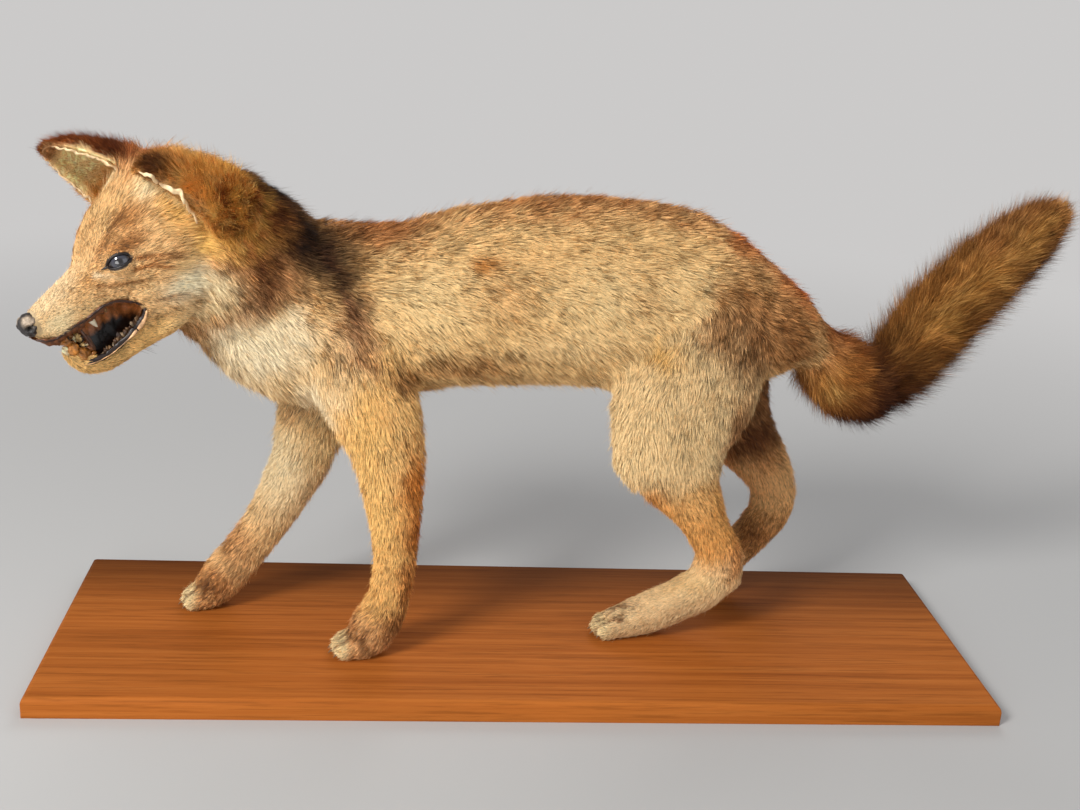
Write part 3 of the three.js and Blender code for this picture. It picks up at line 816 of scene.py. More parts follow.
HEAD_PATCHES = [   # on both sides of the head
    # brown fur, darkened further as painted shade on the brow
    (shade(150, 106, 62), 0.8, (5, 25, 13), (12, 10, 8)),
    (shade(236, 202, 160), 0.9, (52, 0, 2), (28, 15, 9)),  # muzzle
    (shade(190, 136, 80), 0.9, (26, 18, 0), (15, 8, 6)),
    (shade(234, 206, 162), 0.9, (60, 12, -13), (13, 10, 8)),  # upper lip
    (shade(200, 162, 114), 0.8, (34, 17, -17), (15, 9, 6)),
    (shade(178, 142, 100), 0.75, (12, 24, -25), (13, 10, 5)),
    (shade(196, 160, 114), 0.6, (-2, 33, -27), (10, 10, 6)),
    (shade(202, 160, 108), 0.6, (-16, 12, 28), (26, 15, 12)),  # forehead
    (shade(168, 128, 84), 0.6, (-4, 0, 24), (10, 6, 10)),
    # brown fur, darkened further as painted shade on the brow
    (shade(122, 80, 44), 0.9, (-8, 33, 9), (14, 12, 7)),  # brow
    (shade(144, 100, 58), 0.85, (-19, 28, 24), (14, 12, 10)),
    (shade(246, 202, 142), 0.85, (-31, 47, -25), (12, 12, 8)),  # cheek
    (shade(244, 224, 190), 1.0, (-26, 45, -39), (20, 18, 11)),
    (shade(222, 196, 156), 0.95, (-42, 51, -50), (17, 18, 12)),
    (shade(212, 184, 142), 0.8, (-30, 42, -66), (28, 20, 9)),
    (shade(222, 198, 160), 1.0, (-43, 29, 32), (11, 14, 9)),  # under the ear's edge
    (shade(232, 182, 100), 0.95, (-52, 52, -14), (12, 12, 12)),  # gold at the ear's base
    (shade(218, 164, 88), 0.9, (-50, -44, 14), (14, 16, 14)),
    (shade(140, 76, 38), 0.95, (-72, 0, 44), (24, 34, 13)),  # crown
    (shade(94, 48, 26), 0.85, (-62, 22, 47), (14, 14, 8)),
    (shade(74, 34, 20), 0.95, (-50, 52, 50), (21, 24, 14)),  # tip of the left ear
    (shade(208, 148, 78), 0.8, (-66, 60, 24), (14, 18, 12)),
    # brown fur and painted shade between the jowl and the chest
    (shade(112, 66, 34), 0.6, (-106, 60, -34), (18, 22, 14)),  # ruff
]

HEAD_BANDS = [   # streaks: colour, strength, width, line
    (shade(202, 172, 128), 0.9, 4.5, [(-46, 20, 36), (-48, 32, 30), (-51, 40, 22), (-53, 46, 12),
                                      (-55, 50, 0)]),
    # a dark brown line in the fold behind the eye: brown fur and painted shade in the fold
    (shade(108, 62, 28), 1.0, 2.6, [(-6, 36, -2), (-14, 41, -6), (-22, 45, -10), (-30, 48, -16)]),
    (shade(136, 84, 42), 0.9, 2.2, [(-2, 33, -9), (-12, 41, -12), (-22, 46, -20)]),
    (shade(110, 76, 46), 0.8, 2.0, [(24, 18, -8), (10, 25, -15), (-6, 33, -20), (-18, 41, -27)]),
    (shade(122, 86, 56), 0.7, 1.8, [(30, 17, -13), (16, 22, -20), (0, 31, -25)]),
    (shade(112, 74, 42), 0.85, 2.8, [(12, 14, 6), (0, 18, 14), (-14, 21, 24), (-28, 24, 32)]),
    (shade(222, 200, 168), 0.8, 2.6, [(20, 15, -2), (15, 18, -5), (8, 23, -9)]),
    (shade(116, 84, 58), 0.7, 2.4, [(-2, 32, -39), (-12, 38, -41), (-24, 43, -46)]),
    (shade(124, 92, 62), 0.6, 2.2, [(-14, 40, -46), (-30, 46, -52), (-44, 50, -60)]),
    (shade(96, 54, 22), 0.9, 3.0, [(-64, 60, -14), (-74, 65, -17), (-84, 66, -24)]),
]
RUFF_GOLD = shade(255, 192, 96)
RUFF_BROWN = shade(158, 96, 44)
CLUMP_GOLD = shade(255, 212, 134)
GAP_BROWN = shade(96, 54, 24)
LINING_GOLD = shade(220, 156, 78)
TOE_CREAM = shade(226, 196, 148)
TOE_BROWN = shade(98, 62, 36)
CLEFT_SHADE_BROWN = shade(70, 42, 26)
COLOUR_EASING = 36   # how many rounds even out the colours between two parts
EDGE_WANDER = 5      # how far the edges of patches wander
WAVES, WAVE_HEIGHT = 7, 3.2


def patch_weight(places, centre, reach, mirrored=True):
    """How strongly a patch colours each place: a soft blob, on one side or on both."""
    if mirrored:
        places = places * [1, 0, 1] + np.abs(places) * [0, 1, 0]
        centre = (centre[0], abs(centre[1]), centre[2])
    return np.exp(-((((places - np.array(centre)) / reach) ** 2).sum(1) ** 1.3))


def paint(colour, weight, strength, new):
    """A colour at each place moved towards the new one."""
    return colour + (new - colour) * np.clip(weight * strength, 0, 1)[:, None]


def paint_patches(colour, places, patches, mirrored=True):
    for new, strength, centre, reach in patches:
        colour = paint(colour, patch_weight(places, centre, reach, mirrored), strength, new)
    return colour


def paint_bands(colour, places, wander, bands, edge):
    """Bands on both sides; the higher edge is, the more sharply they end."""
    places = (places + wander) * [1, 0, 1] + np.abs(places) * [0, 1, 0]
    for new, strength, width, line in bands:
        off, _ = along_line(places, line)
        colour = paint(colour, np.exp(-((off / width) ** edge)), strength, new)
    return colour


def ripple(places, size, seed):
    """Soft irregular waves of about that size, from -1 to 1."""
    rng = np.random.default_rng(seed)
    total = np.zeros(len(places))
    for _ in range(WAVES):
        direction = unit(rng.normal(size=3)) * (2 * math.pi / size) * rng.uniform(0.7, 1.4)
        total += np.sin(places @ direction + rng.uniform(0, 2 * math.pi))
    return np.clip(total / WAVE_HEIGHT, -1, 1)


# Where each foot's toes end, and how far aside of their middle the clefts between them lie.
TOES = {
    "foreleg_left": (-157, -52),
    "foreleg_right": (-286, 46),
    "hind_leg_left": (74, -36),
    "hind_leg_right": (188, 42),
}
CLEFTS = (-8.8, 0.0, 8.8)
CLEFT_WIDTH = 1.9


def cleft_weight(body, leg):
    """How deep each point of a foot lies in the clefts between its toes."""
    end, middle = TOES[leg]
    low = (body[:, 2] < 44) & (np.abs(body[:, 1] - middle) < 22)
    along = ramp(body[:, 0], end - 14, end - 8) * ramp(-body[:, 0], -(end + 16), -(end + 8)) * low
    off = [body[:, 1] - middle - aside for aside in CLEFTS]
    return sum(np.exp(-((aside / CLEFT_WIDTH) ** 2)) for aside in off) * along


def paint_toes(colour, body):
    """Cream toes with brown spots above, and painted shade in the clefts between them."""
    for leg, (end, middle) in TOES.items():
        near = (body[:, 2] < 48) & (np.abs(body[:, 1] - middle) < 26)
        toes = ramp(-body[:, 0], -(end + 5), -(end - 1)) * near * (body[:, 0] > end - 26)
        colour = paint(colour, toes, 0.8, TOE_CREAM)
        top = np.exp(-(((body[:, 0] - end - 13) / 7) ** 2)) * near * (body[:, 2] > 30)
        spots = ramp(ripple(body, 9, 31), -0.5, 0.3)
        colour = paint(colour, top * spots, 0.85, TOE_BROWN)
        # painted shade in the clefts between the toes
        colour = paint(colour, cleft_weight(body, leg), 0.9, CLEFT_SHADE_BROWN)
    return colour


def paint_ruff(colour, head, on_left_ear):
    """Golden and brown lumps behind the ears, and clumps and gaps on the folded one."""
    ruff = patch_weight(head, (-80, 60, 2), (36, 28, 38))
    lumps = ramp(ripple(head, 12, 5), -0.6, 0.2)[:, None]
    colour = paint(colour, ruff, 1.1, RUFF_BROWN + (RUFF_GOLD - RUFF_BROWN) * lumps)
    gaps = ramp(ripple(head, 9, 66) + 0.4 * ripple(head, 4, 68), 0.15, 0.8)
    clumps = ramp(ripple(head, 8, 67), 0.1, 0.7)
    colour = paint(colour, on_left_ear * clumps, 0.65, CLUMP_GOLD)
    return paint(colour, on_left_ear * gaps, 0.75, GAP_BROWN)


def paint_ear_linings(colour, head, mesh, solid):
    """Cream inside each ear, golden at its foot and brown towards its tip."""
    for name in EARS:
        inside, height = ear_inside(mesh, solid, name)
        lining = EAR_CREAM * (1 + 0.14 * ripple(head, 7, 6))[:, None]
        lining = paint(lining, ramp(-height, -0.5, -0.25), 0.85, LINING_GOLD)
        lining = paint(lining, ramp(height, 0.76, 0.9), 0.85, BROWN)
        colour = paint(colour, inside, 1.0, lining)
    return colour


def markings(mesh, solid, pairs):
    """The colour of the fur at each vertex of the skin."""
    co = corners_of(mesh)
    body = from_world(co, body_to_world)
    head = from_world(co, head_to_world)
    wander = np.stack([ripple(body, 22, seed) for seed in (1, 2, 3)], 1) * EDGE_WANDER
    base = np.array([BASE_COLOURS[node] for node in FLESH])[solid]
    colour = spread(base, pairs, COLOUR_EASING)
    colour = paint_patches(colour, body + wander, BODY_PATCHES)
    colour = paint_patches(colour, body + wander * 0.5, LEFT_PATCHES + RIGHT_PATCHES, False)
    colour = paint_bands(colour, body, wander, BODY_BANDS, 2.6)
    colour = paint_ruff(colour, head, spread(on_solids(solid, ["ear_left"]), pairs, 6))
    colour = paint_patches(colour, head + wander * 0.25, HEAD_PATCHES)
    colour = paint_bands(colour, head, wander * 0.12, HEAD_BANDS, 2)
    colour = paint_ear_linings(colour, head, mesh, solid)
    colour = paint_toes(colour, body)
    uneven = 1 + 0.11 * ripple(body, 30, 7) + 0.12 * ripple(body, 11, 8)
    pale = ramp(colour @ BRIGHTNESS, 0.14, 0.42)[:, None]
    return colour * (REDDER + (GREYER - REDDER) * pale) * uneven[:, None]


# ---------------------------------------------------------------- coat

FLOW_EASING = 30     # how many rounds even out the hair's lie between two parts
GROWTH_EASING = 40   # and its growth


def flow_field(mesh, solid, pairs):
    """Which way the hair lies at each vertex of the skin."""
    co = corners_of(mesh)
    normals = normals_of(mesh)
    body = from_world(co, body_to_world)
    head = from_world(co, head_to_world)
    flow = np.zeros_like(co)
    for node in FLESH:
        here = on_solids(solid, [node])
        places = body[here]
        if node == "trunk":
            drop = -0.35 - 0.35 * ramp(-places[:, 2], -360, -270)
            way = np.stack([np.ones(len(places)), np.zeros(len(places)), drop], 1)
            flow[here] = turned(way, body_to_world)
        elif node == "neck":
            way = along_line(places, LINES["neck"])[1]
            throat = ramp(-places[:, 2], -340, -290)
            way = way + np.stack([-0.3 * throat, 0 * throat, -0.9 * throat - 0.2], 1)
            flow[here] = turned(way, body_to_world)
        elif node in ("head", "lower_jaw"):
            local = head[here]
            out = 0.5 * np.sign(local[:, 1]) * ramp(np.abs(local[:, 1]), 4, 24)
            cheek = ramp(-local[:, 2], 8, 50)
            way = np.stack([-np.ones(len(local)), out * (1 - cheek), -0.15 - 0.35 * cheek], 1)
            crown = ramp(local[:, 2], 8, 30)[:, None]
            way = way + crown * np.array([0, 0, 0.5])
            flow[here] = turned(way, head_to_world)
        elif node in EARS:
            flow[here] = turned(ear_axes(node)[2][None], head_to_world)
        else:
            line = "tail" if node in TAIL else node.rsplit("_", 1)[0]
            flow[here] = turned(along_line(places, LINES[line])[1], body_to_world)
    flow = spread(unit(flow), pairs, FLOW_EASING)
    return unit(flow - normals * (flow * normals).sum(1, keepdims=True))


def growth_fields(mesh, solid, pairs, colour, inside_mouth, opening):
    """Length, width, lift and dark-tipped share at each vertex, and how much grows."""
    co = corners_of(mesh)
    body = from_world(co, body_to_world)
    head = from_world(co, head_to_world)
    growth = np.array([coat_of(node)[1:] for node in FLESH])[solid]
    on_face = on_solids(solid, ["head"])
    back = ramp(-head[:, 0], 2, 66)
    growth[on_face, LENGTH] = (4.4 + 9.5 * back)[on_face]
    growth[on_face, WIDTH] = (0.34 + 0.16 * back)[on_face]
    growth[on_face, LIFT] = (14 + 9 * back)[on_face]
    growth = spread(growth, pairs, GROWTH_EASING)

    # Shorter at the tail's tip, close on its root, long and raised in the ruff, and
    # seldom dark-tipped where the fur is pale.
    growth[:, LENGTH] *= 1 - 0.2 * ramp(body[:, 0], 430, 462)
    on_root = ramp(body[:, 2], 278, 296) * ramp(body[:, 0], 232, 250) * (body[:, 0] < 300)
    growth[:, LENGTH] *= 1 - 0.35 * on_root
    growth[:, LIFT] *= 1 - 0.5 * on_root
    ruff = patch_weight(head, (-72, 58, 2), (26, 22, 30))
    growth[:, LENGTH] += 4.5 * ruff
    growth[:, LIFT] += 16 * ruff
    growth[:, DARK] *= 1 - 0.65 * ramp(colour @ BRIGHTNESS, 0.32, 0.62)

    # Short between the toes, round the eyes and the nose, and at the left ear's edge.
    for leg in LEGS:
        growth[:, LENGTH] *= 1 - 0.4 * np.clip(cleft_weight(body, leg), 0, 1)
    growth[:, LENGTH] *= 0.42 + 0.58 * ramp(lid_distance(head), 0.5, 9)
    off_nose = np.linalg.norm((head - [76, 0, -7]) / [10, 11, 11], axis=1)
    growth[:, LENGTH] *= 0.5 + 0.5 * ramp(off_nose, 1.0, 2.6)
    across_view = np.eye(3) - np.outer(RIM_SIDE, RIM_SIDE)
    off_rim = along_line(head @ across_view, np.array(LEFT_RIM) @ across_view)[0]
    at_rim = (1 - ramp(off_rim, 4, 11)) * (head @ RIM_SIDE > 0)
    growth[:, LENGTH] *= 1 - 0.6 * at_rim
    growth[:, LIFT] *= 1 - 0.5 * at_rim

    # None in the mouth, between the lids or on the nose, and little inside the ears.
    density = 1 - ramp(inside_mouth, 0.2, 0.5)
    density *= 1 - ramp(opening, 0.1, 0.5)
    density *= ramp(off_nose, 0.95, 1.15)
    for name in EARS:
        inside, _ = ear_inside(mesh, solid, name)
        density *= 1 - 0.75 * inside
        growth[:, LENGTH] *= 1 - 0.5 * inside
        growth[:, LIFT] *= 1 - 0.6 * inside
        growth[:, DARK] *= 1 - 0.9 * inside
    return growth, density


HOLD = 0.34          # how strongly tufts gather into locks
STRAY_HOLD = 0.2     # the share of that hold that stray tufts feel
WIDEST = 0.45        # where along its length a tuft is widest, and bends
ARCH = 1.35          # how much steeper than its tip it rises up to there
ROOT_DEPTH = 0.4     # how far below the skin it starts
BAKE_PATCH = 0.003   # how much of the bake map each tuft takes up
COAT_GAIN = 1.32     # makes up for the shade that tufts cast on each other
# the ears' hide is made brighter than their fur: painted light in the shaded hollows of the ears
HIDE_TONE, EAR_HIDE_PAINTED_LIGHT = 0.6, 1.1   # how bright the hide is against the fur on it
BRIGHTEST, DARKEST = 0.9, 0.004
WARM_DARK = np.array([1.06, 0.9, 0.74])   # dark-tipped hair is a redder brown
# Tones along a tuft, at its root, its two sides and its tip.
DARK_TIPPED = [0.5, 0.92, 0.92, 0.12]
PALE_TIPPED = [0.55, 1.04, 1.04, 1.28]


def coat_map(skin, faces):
    """The skin under one piece of coat, laid out flat: each face's three corners."""
    mesh = skin.data.copy()
    mark = mesh.attributes.new("under_coat", "INT", "FACE")
    mark.data.foreach_set("value", np.arange(len(mesh.polygons), dtype=np.int32))
    kept = set(faces.tolist())
    with reworked(mesh) as work:
        spare = [face for face in work.faces if face.index not in kept]
        bmesh.ops.delete(work, geom=spare, context="FACES")
    sheet = new_object("coat_map", mesh)
    pick(sheet)
    mesh.uv_layers.new(name="flat")
    bpy.ops.object.mode_set(mode="EDIT")
    bpy.ops.mesh.select_all(action="SELECT")
    bpy.ops.uv.smart_project(angle_limit=math.radians(70), island_margin=0.004)
    bpy.ops.object.mode_set(mode="OBJECT")
    flat = read(mesh.uv_layers["flat"].uv, "vector", 2)
    order = read(mesh.attributes["under_coat"].data, "value", 1, np.int32)[:, 0]
    bpy.data.objects.remove(sheet)
    bpy.data.meshes.remove(mesh)
    corners = np.zeros((len(skin.data.polygons), 3, 2))
    corners[order] = flat.reshape(-1, 3, 2)
    return corners


class Pelt:
    """The finished skin with all that the coat needs to know at each of its vertices."""

    def __init__(self, skin, solid, colour, flow, growth, density):
        self.skin = skin
        self.co = corners_of(skin.data)
        self.normals = normals_of(skin.data)
        self.triangles = read(skin.data.polygons, "vertices", 3, np.int32)
        self.solid = solid
        self.colour = colour
        self.flow = flow
        self.growth = growth
        self.density = density
        edge_a = self.co[self.triangles[:, 1]] - self.co[self.triangles[:, 0]]
        edge_b = self.co[self.triangles[:, 2]] - self.co[self.triangles[:, 0]]
        self.area = np.linalg.norm(np.cross(edge_a, edge_b), axis=1) / 2


def scatter(pelt, faces, count, rng):
    """Roots over some faces of the skin, closer together where the hair is short."""
    weight = pelt.area[faces] * pelt.density[pelt.triangles[faces]].mean(1)
    weight = weight / np.maximum(pelt.growth[pelt.triangles[faces], LENGTH].mean(1), 3) ** 0.8
    chosen = faces[rng.choice(len(faces), count, p=weight / weight.sum())]
    a, b = rng.random(count), rng.random(count)
    over = a + b > 1
    a[over], b[over] = 1 - a[over], 1 - b[over]
    share = np.stack([1 - a - b, a, b], 1)
    return chosen, share


def blend_at(values, corners, share):
    return np.einsum("ij,ijk->ik", share, values[corners])


def gather(roots, tips, rng, spacing):
    """Draws neighbouring tips together, so that the tufts stand in locks."""
    chosen = rng.choice(len(roots), max(8, int(len(roots) / spacing)), replace=False)
    tree = KDTree(len(chosen))
    for place, index in enumerate(chosen):
        tree.insert(roots[index], place)
    tree.balance()
    lead = chosen[np.array([tree.find(root)[1] for root in roots])]
    return lead, tips[lead] - roots[lead]


def tuft_colours(colour, dark_share, lead, body, rng):
    """Root, two sides and tip of each tuft: banded like a fox's hair, some dark-tipped."""
    count = len(colour)
    lock = rng.normal(0, 0.2, count)[lead] + 0.1 * ripple(body, 7, 21)
    own = rng.normal(0, 0.22, count)
    chance = rng.random(count)[lead] * 0.45 + rng.random(count) * 0.55
    dark = chance < dark_share * (0.8 + 0.35 * ripple(body, 17, 22))
    tone = np.exp(lock + own) * np.where(dark, 0.86, 1.06)
    steps = np.where(dark[:, None], DARK_TIPPED, PALE_TIPPED)
    final = colour[:, None, :] * tone[:, None, None] * steps[:, :, None] * COAT_GAIN
    final = np.where(dark[:, None, None], final * WARM_DARK, final)
    brightest = final.max(axis=2, keepdims=True)
    return np.maximum(final * np.minimum(BRIGHTEST / brightest, 1), DARKEST)


def leaf_mesh(name, leaves, bake_at):
    """Two triangles to each leaf, and the map OFBake, where each has its own small patch."""
    count = len(leaves)
    order = np.array([0, 1, 2, 1, 3, 2])
    mesh = bpy.data.meshes.new(name)
    mesh.vertices.add(count * 4)
    mesh.vertices.foreach_set("co", leaves.astype(np.float32).ravel())
    loops = (np.arange(count) * 4)[:, None] + order
    mesh.loops.add(count * 6)
    mesh.loops.foreach_set("vertex_index", loops.astype(np.int32).ravel())
    mesh.polygons.add(count * 2)
    mesh.polygons.foreach_set("loop_start", (np.arange(count * 2) * 3).astype(np.int32))
    patch = np.array([(0, -0.5), (-0.5, 0), (0.5, 0), (0, 0.5)]) * BAKE_PATCH
    flat = np.clip(bake_at, BAKE_PATCH, 1 - BAKE_PATCH)[:, None, :] + patch
    flat = flat[:, order]
    mesh.uv_layers.new(name="OFBake")
    mesh.uv_layers["OFBake"].uv.foreach_set("vector", flat.astype(np.float32).ravel())
    mesh.update()
    mesh.polygons.foreach_set("use_smooth", np.ones(count * 2, bool))
    return mesh


def grow_coat(name, pelt, nodes, count, seed, slot, side=0, spacing=8, wild=0.05, tousle=1.0):
    """One piece of the coat: tapered tufts rooted on the skin of the named solids.

    side picks the fox's left (-1) or right (1); spacing is how many tufts make a lock,
    wild the share of stray ones, and tousle how far they all sway.
    """
    rng = np.random.default_rng(seed)
    wanted = on_solids(pelt.solid, nodes)
    if side:
        wanted &= side * from_world(pelt.co, body_to_world)[:, 1] > 0
    faces = np.where(wanted[pelt.triangles[:, 0]])[0]
    layout = coat_map(pelt.skin, faces)
    chosen, share = scatter(pelt, faces, count, rng)
    corners = pelt.triangles[chosen]
    root = blend_at(pelt.co, corners, share)
    normal = unit(blend_at(pelt.normals, corners, share))
    flow = blend_at(pelt.flow, corners, share)
    flow = unit(flow - normal * (flow * normal).sum(1, keepdims=True))
    colour = blend_at(pelt.colour, corners, share)
    growth = blend_at(pelt.growth, corners, share)
    across = np.cross(normal, flow)

    body = from_world(root, body_to_world)
    sway = 0.20 * ripple(body, 30, seed + 11) + 0.14 * ripple(body, 10, seed + 12)
    sway = tousle * (sway + rng.normal(0, 0.16, count))
    stray = rng.random(count) < wild
    length = growth[:, LENGTH] * rng.uniform(0.6, 1.15, count) * np.where(stray, 1.35, 1)
    width = growth[:, WIDTH] * rng.uniform(0.7, 1.25, count) * np.where(stray, 0.6, 1)
    lift = np.radians(growth[:, LIFT]) * rng.uniform(0.5, 1.3, count)
    lift = lift * (1 + 0.25 * ripple(body, 14, seed + 13))
    lift = lift + np.where(stray, rng.uniform(0, 0.42, count) * tousle, 0)
    way = unit(flow + across * sway[:, None])
    rising = way * np.cos(lift * ARCH)[:, None] + normal * np.sin(lift * ARCH)[:, None]
    middle = root + rising * (length * WIDEST * MM)[:, None]
    rising = way * np.cos(lift)[:, None] + normal * np.sin(lift)[:, None]
    tip = root + rising * (length * MM)[:, None]
    lead, reach = gather(root, tip, rng, spacing)
    hold = HOLD * np.where(stray, STRAY_HOLD, 1)[:, None]
    tip = tip + (root[lead] + reach - tip) * hold
    middle = middle + (root[lead] + reach * WIDEST - middle) * hold * 0.35

    # Each tuft is a narrow leaf, bent at its middle: a root, two sides and a tip.
    twist = rng.normal(0, 0.4, count)
    wide = np.cross(normal, unit(tip - root))
    wide = unit(wide * np.cos(twist)[:, None] + normal * np.sin(twist)[:, None])
    half = wide * (width * 0.5 * MM)[:, None]
    leaves = np.stack([root - normal * ROOT_DEPTH * MM, middle - half, middle + half, tip], 1)
    bake_at = np.einsum("ij,ijk->ik", share, layout[chosen])
    mesh = leaf_mesh(name, leaves, bake_at)
    final = tuft_colours(colour, growth[:, DARK] + 0.4 * stray, lead, body, rng)
    store_colour(mesh, "coat_colour", final.reshape(-1, 3))
    return wear(new_object(name, mesh), "coat", slot)


# ---------------------------------------------------------------- materials


def fresh_material(name):
    material = bpy.data.materials.new(name)
    material.use_nodes = True
    return material, material.node_tree, material.node_tree.nodes["Principled BSDF"]


def node(tree, kind, **settings):
    """A new node, with its sockets' and its own settings given by name."""
    made = tree.nodes.new(kind)
    for key, value in settings.items():
        if key in made.inputs:
            made.inputs[key].default_value = value
        else:
            setattr(made, key, value)
    return made


def link(tree, source, target):
    tree.links.new(source, target)


def remapped(tree, value, low, high, to_low, to_high, **settings):
    """A value stretched from one range to another."""
    made = node(tree, "ShaderNodeMapRange", **settings)
    made.inputs["From Min"].default_value = low
    made.inputs["From Max"].default_value = high
    made.inputs["To Min"].default_value = to_low
    made.inputs["To Max"].default_value = to_high
    link(tree, value, made.inputs["Value"])
    return made


def multiplied(tree, colour, tone):
    made = node(tree, "ShaderNodeMix", data_type="RGBA", blend_type="MULTIPLY")
    made.inputs["Factor"].default_value = 1.0
    link(tree, colour, made.inputs["A"])
    link(tree, tone, made.inputs["B"])
    return made.outputs["Result"]


def roughened(tree, surface, height, strength, distance):
    """Small bumps where the height is greater."""
    bump = node(tree, "ShaderNodeBump", Strength=strength, Distance=distance)
    link(tree, height, bump.inputs["Height"])
    link(tree, bump.outputs["Normal"], surface.inputs["Normal"])


def mottle_group():
    """Uneven tone over a surface: a colour in, the same colour lighter and darker out."""
    tree = bpy.data.node_groups.new("mottle", "ShaderNodeTree")
    sockets = [
        ("Color", "INPUT", "Color"), ("Scale", "INPUT", "Float"), ("Darkest", "INPUT", "Float"),
        ("Lightest", "INPUT", "Float"), ("Color", "OUTPUT", "Color"), ("Fac", "OUTPUT", "Float"),
    ]
    for name, way, kind in sockets:
        tree.interface.new_socket(name, in_out=way, socket_type=f"NodeSocket{kind}")
    inside = node(tree, "NodeGroupInput")
    outside = node(tree, "NodeGroupOutput")
    place = node(tree, "ShaderNodeTexCoord")
    noise = node(tree, "ShaderNodeTexNoise", Detail=5.0, Roughness=0.6)
    tone = remapped(tree, noise.outputs["Fac"], 0.3, 0.7, 0.0, 1.0)
    link(tree, place.outputs["Object"], noise.inputs["Vector"])
    link(tree, inside.outputs["Scale"], noise.inputs["Scale"])
    link(tree, inside.outputs["Darkest"], tone.inputs["To Min"])
    link(tree, inside.outputs["Lightest"], tone.inputs["To Max"])
    uneven = multiplied(tree, inside.outputs["Color"], tone.outputs["Result"])
    link(tree, uneven, outside.inputs["Color"])
    link(tree, noise.outputs["Fac"], outside.inputs["Fac"])
    return tree


def mottled(tree, surface, attribute, scale, darkest, lightest):
    """Mottles a surface's colour, which it reads from its mesh where one is named."""
    tone = node(tree, "ShaderNodeGroup")
    tone.node_tree = bpy.data.node_groups["mottle"]
    tone.inputs["Scale"].default_value = scale
    tone.inputs["Darkest"].default_value = darkest
    tone.inputs["Lightest"].default_value = lightest
    if attribute:
        colour = node(tree, "ShaderNodeAttribute", attribute_name=attribute)
        link(tree, colour.outputs["Color"], tone.inputs["Color"])
    link(tree, tone.outputs["Color"], surface.inputs["Base Color"])
    return tone


def coat_material():
    """Matt fur, its colour from the tufts."""
    material, tree, surface = fresh_material("fox coat")
    mottled(tree, surface, "coat_colour", 260, 0.84, 1.14)
    surface.inputs["Roughness"].default_value = 0.7
    surface.inputs["Specular IOR Level"].default_value = 0.1
    return material


def skin_material():
    """The hide under the fur, dry but for a shine where it is bare."""
    material, tree, surface = fresh_material("fox skin")
    mottled(tree, surface, "coat_colour", 420, 0.75, 1.2)
    bare = node(tree, "ShaderNodeAttribute", attribute_name="bare")
    rough = remapped(tree, bare.outputs["Fac"], 0.0, 1.0, 0.8, 0.42)
    link(tree, rough.outputs["Result"], surface.inputs["Roughness"])
    place = node(tree, "ShaderNodeTexCoord")
    grain = node(tree, "ShaderNodeTexNoise", Scale=900.0, Detail=6.0)
    link(tree, place.outputs["Object"], grain.inputs["Vector"])
    roughened(tree, surface, grain.outputs["Fac"], 0.5, 0.0008)
    return material


def plain_material(name, colour, roughness, scale=300, darkest=0.7, lightest=1.2, bumps=0.3):
    """A mottled, finely bumped surface; a colour of None reads the piece's own tones."""
    material, tree, surface = fresh_material(name)
    tone = mottled(tree, surface, None if colour is not None else "tone", scale, darkest, lightest)
    if colour is not None:
        tone.inputs["Color"].default_value = (*colour, 1)
    roughened(tree, surface, tone.outputs["Fac"], bumps, 0.0006)
    surface.inputs["Roughness"].default_value = roughness
    return material


def drawn_out(tree, place, stretch, **settings):
    """Noise drawn out along the board: the smaller a stretch, the longer it runs."""
    mapping = node(tree, "ShaderNodeMapping", Scale=stretch)
    noise = node(tree, "ShaderNodeTexNoise", **settings)
    link(tree, place, mapping.inputs["Vector"])
    link(tree, mapping.outputs["Vector"], noise.inputs["Vector"])
    return noise.outputs["Fac"]


def wood_material():
    """Brown hardwood, its grain along the board, with fine dark pores, and painted shade that
    darkens it towards the back.
    """
    material, tree, surface = fresh_material("board wood")
    place = node(tree, "ShaderNodeTexCoord").outputs["Object"]
    figure = drawn_out(
        tree, place, (1.1, 70, 70), Scale=1.9, Detail=9.0, Roughness=0.66, Distortion=0.3
    )
    pores = drawn_out(tree, place, (14, 420, 420), Scale=1.0, Detail=3.0, Roughness=0.7)
    broad = drawn_out(tree, place, (2.0, 6.0, 6.0), Scale=1.0, Detail=2.0)
    tones = node(tree, "ShaderNodeValToRGB")
    tones.color_ramp.elements[0].position = 0.30
    tones.color_ramp.elements[0].color = (*shade(142, 76, 29), 1)
    tones.color_ramp.elements[1].position = 0.72
    tones.color_ramp.elements[1].color = (*shade(176, 103, 45), 1)
    tones.color_ramp.elements.new(0.5).color = (*shade(162, 91, 37), 1)
    link(tree, figure, tones.inputs["Fac"])
    split = node(tree, "ShaderNodeSeparateXYZ")
    link(tree, place, split.inputs["Vector"])
    # painted shade: the wood's colour darkens from the front of the board to its back
    rear = remapped(tree, split.outputs["Y"], -0.005, 0.13, 1.04, 0.34,
                    interpolation_type="SMOOTHSTEP")
    colour = tones.outputs["Color"]
    for tone in (
        remapped(tree, pores, 0.34, 0.5, 0.74, 1.0),
        remapped(tree, broad, 0.35, 0.65, 0.88, 1.06),
        rear,
    ):
        colour = multiplied(tree, colour, tone.outputs["Result"])
    link(tree, colour, surface.inputs["Base Color"])
    rough = remapped(tree, figure, 0.0, 1.0, 0.6, 0.5)
    link(tree, rough.outputs["Result"], surface.inputs["Roughness"])
    roughened(tree, surface, pores, 0.25, 0.0005)
    surface.inputs["Specular IOR Level"].default_value = 0.03
    return material


def glass_eye_material():
    """Polished glass over the colours painted on the back of the eye."""
    material, tree, surface = fresh_material("eye glass")
    colour = node(tree, "ShaderNodeAttribute", attribute_name="eye_colour")
    link(tree, colour.outputs["Color"], surface.inputs["Base Color"])
    surface.inputs["Roughness"].default_value = 0.12
    surface.inputs["Specular IOR Level"].default_value = 0.6
    surface.inputs["Coat Weight"].default_value = 0.9
    surface.inputs["Coat Roughness"].default_value = 0.04
    return material


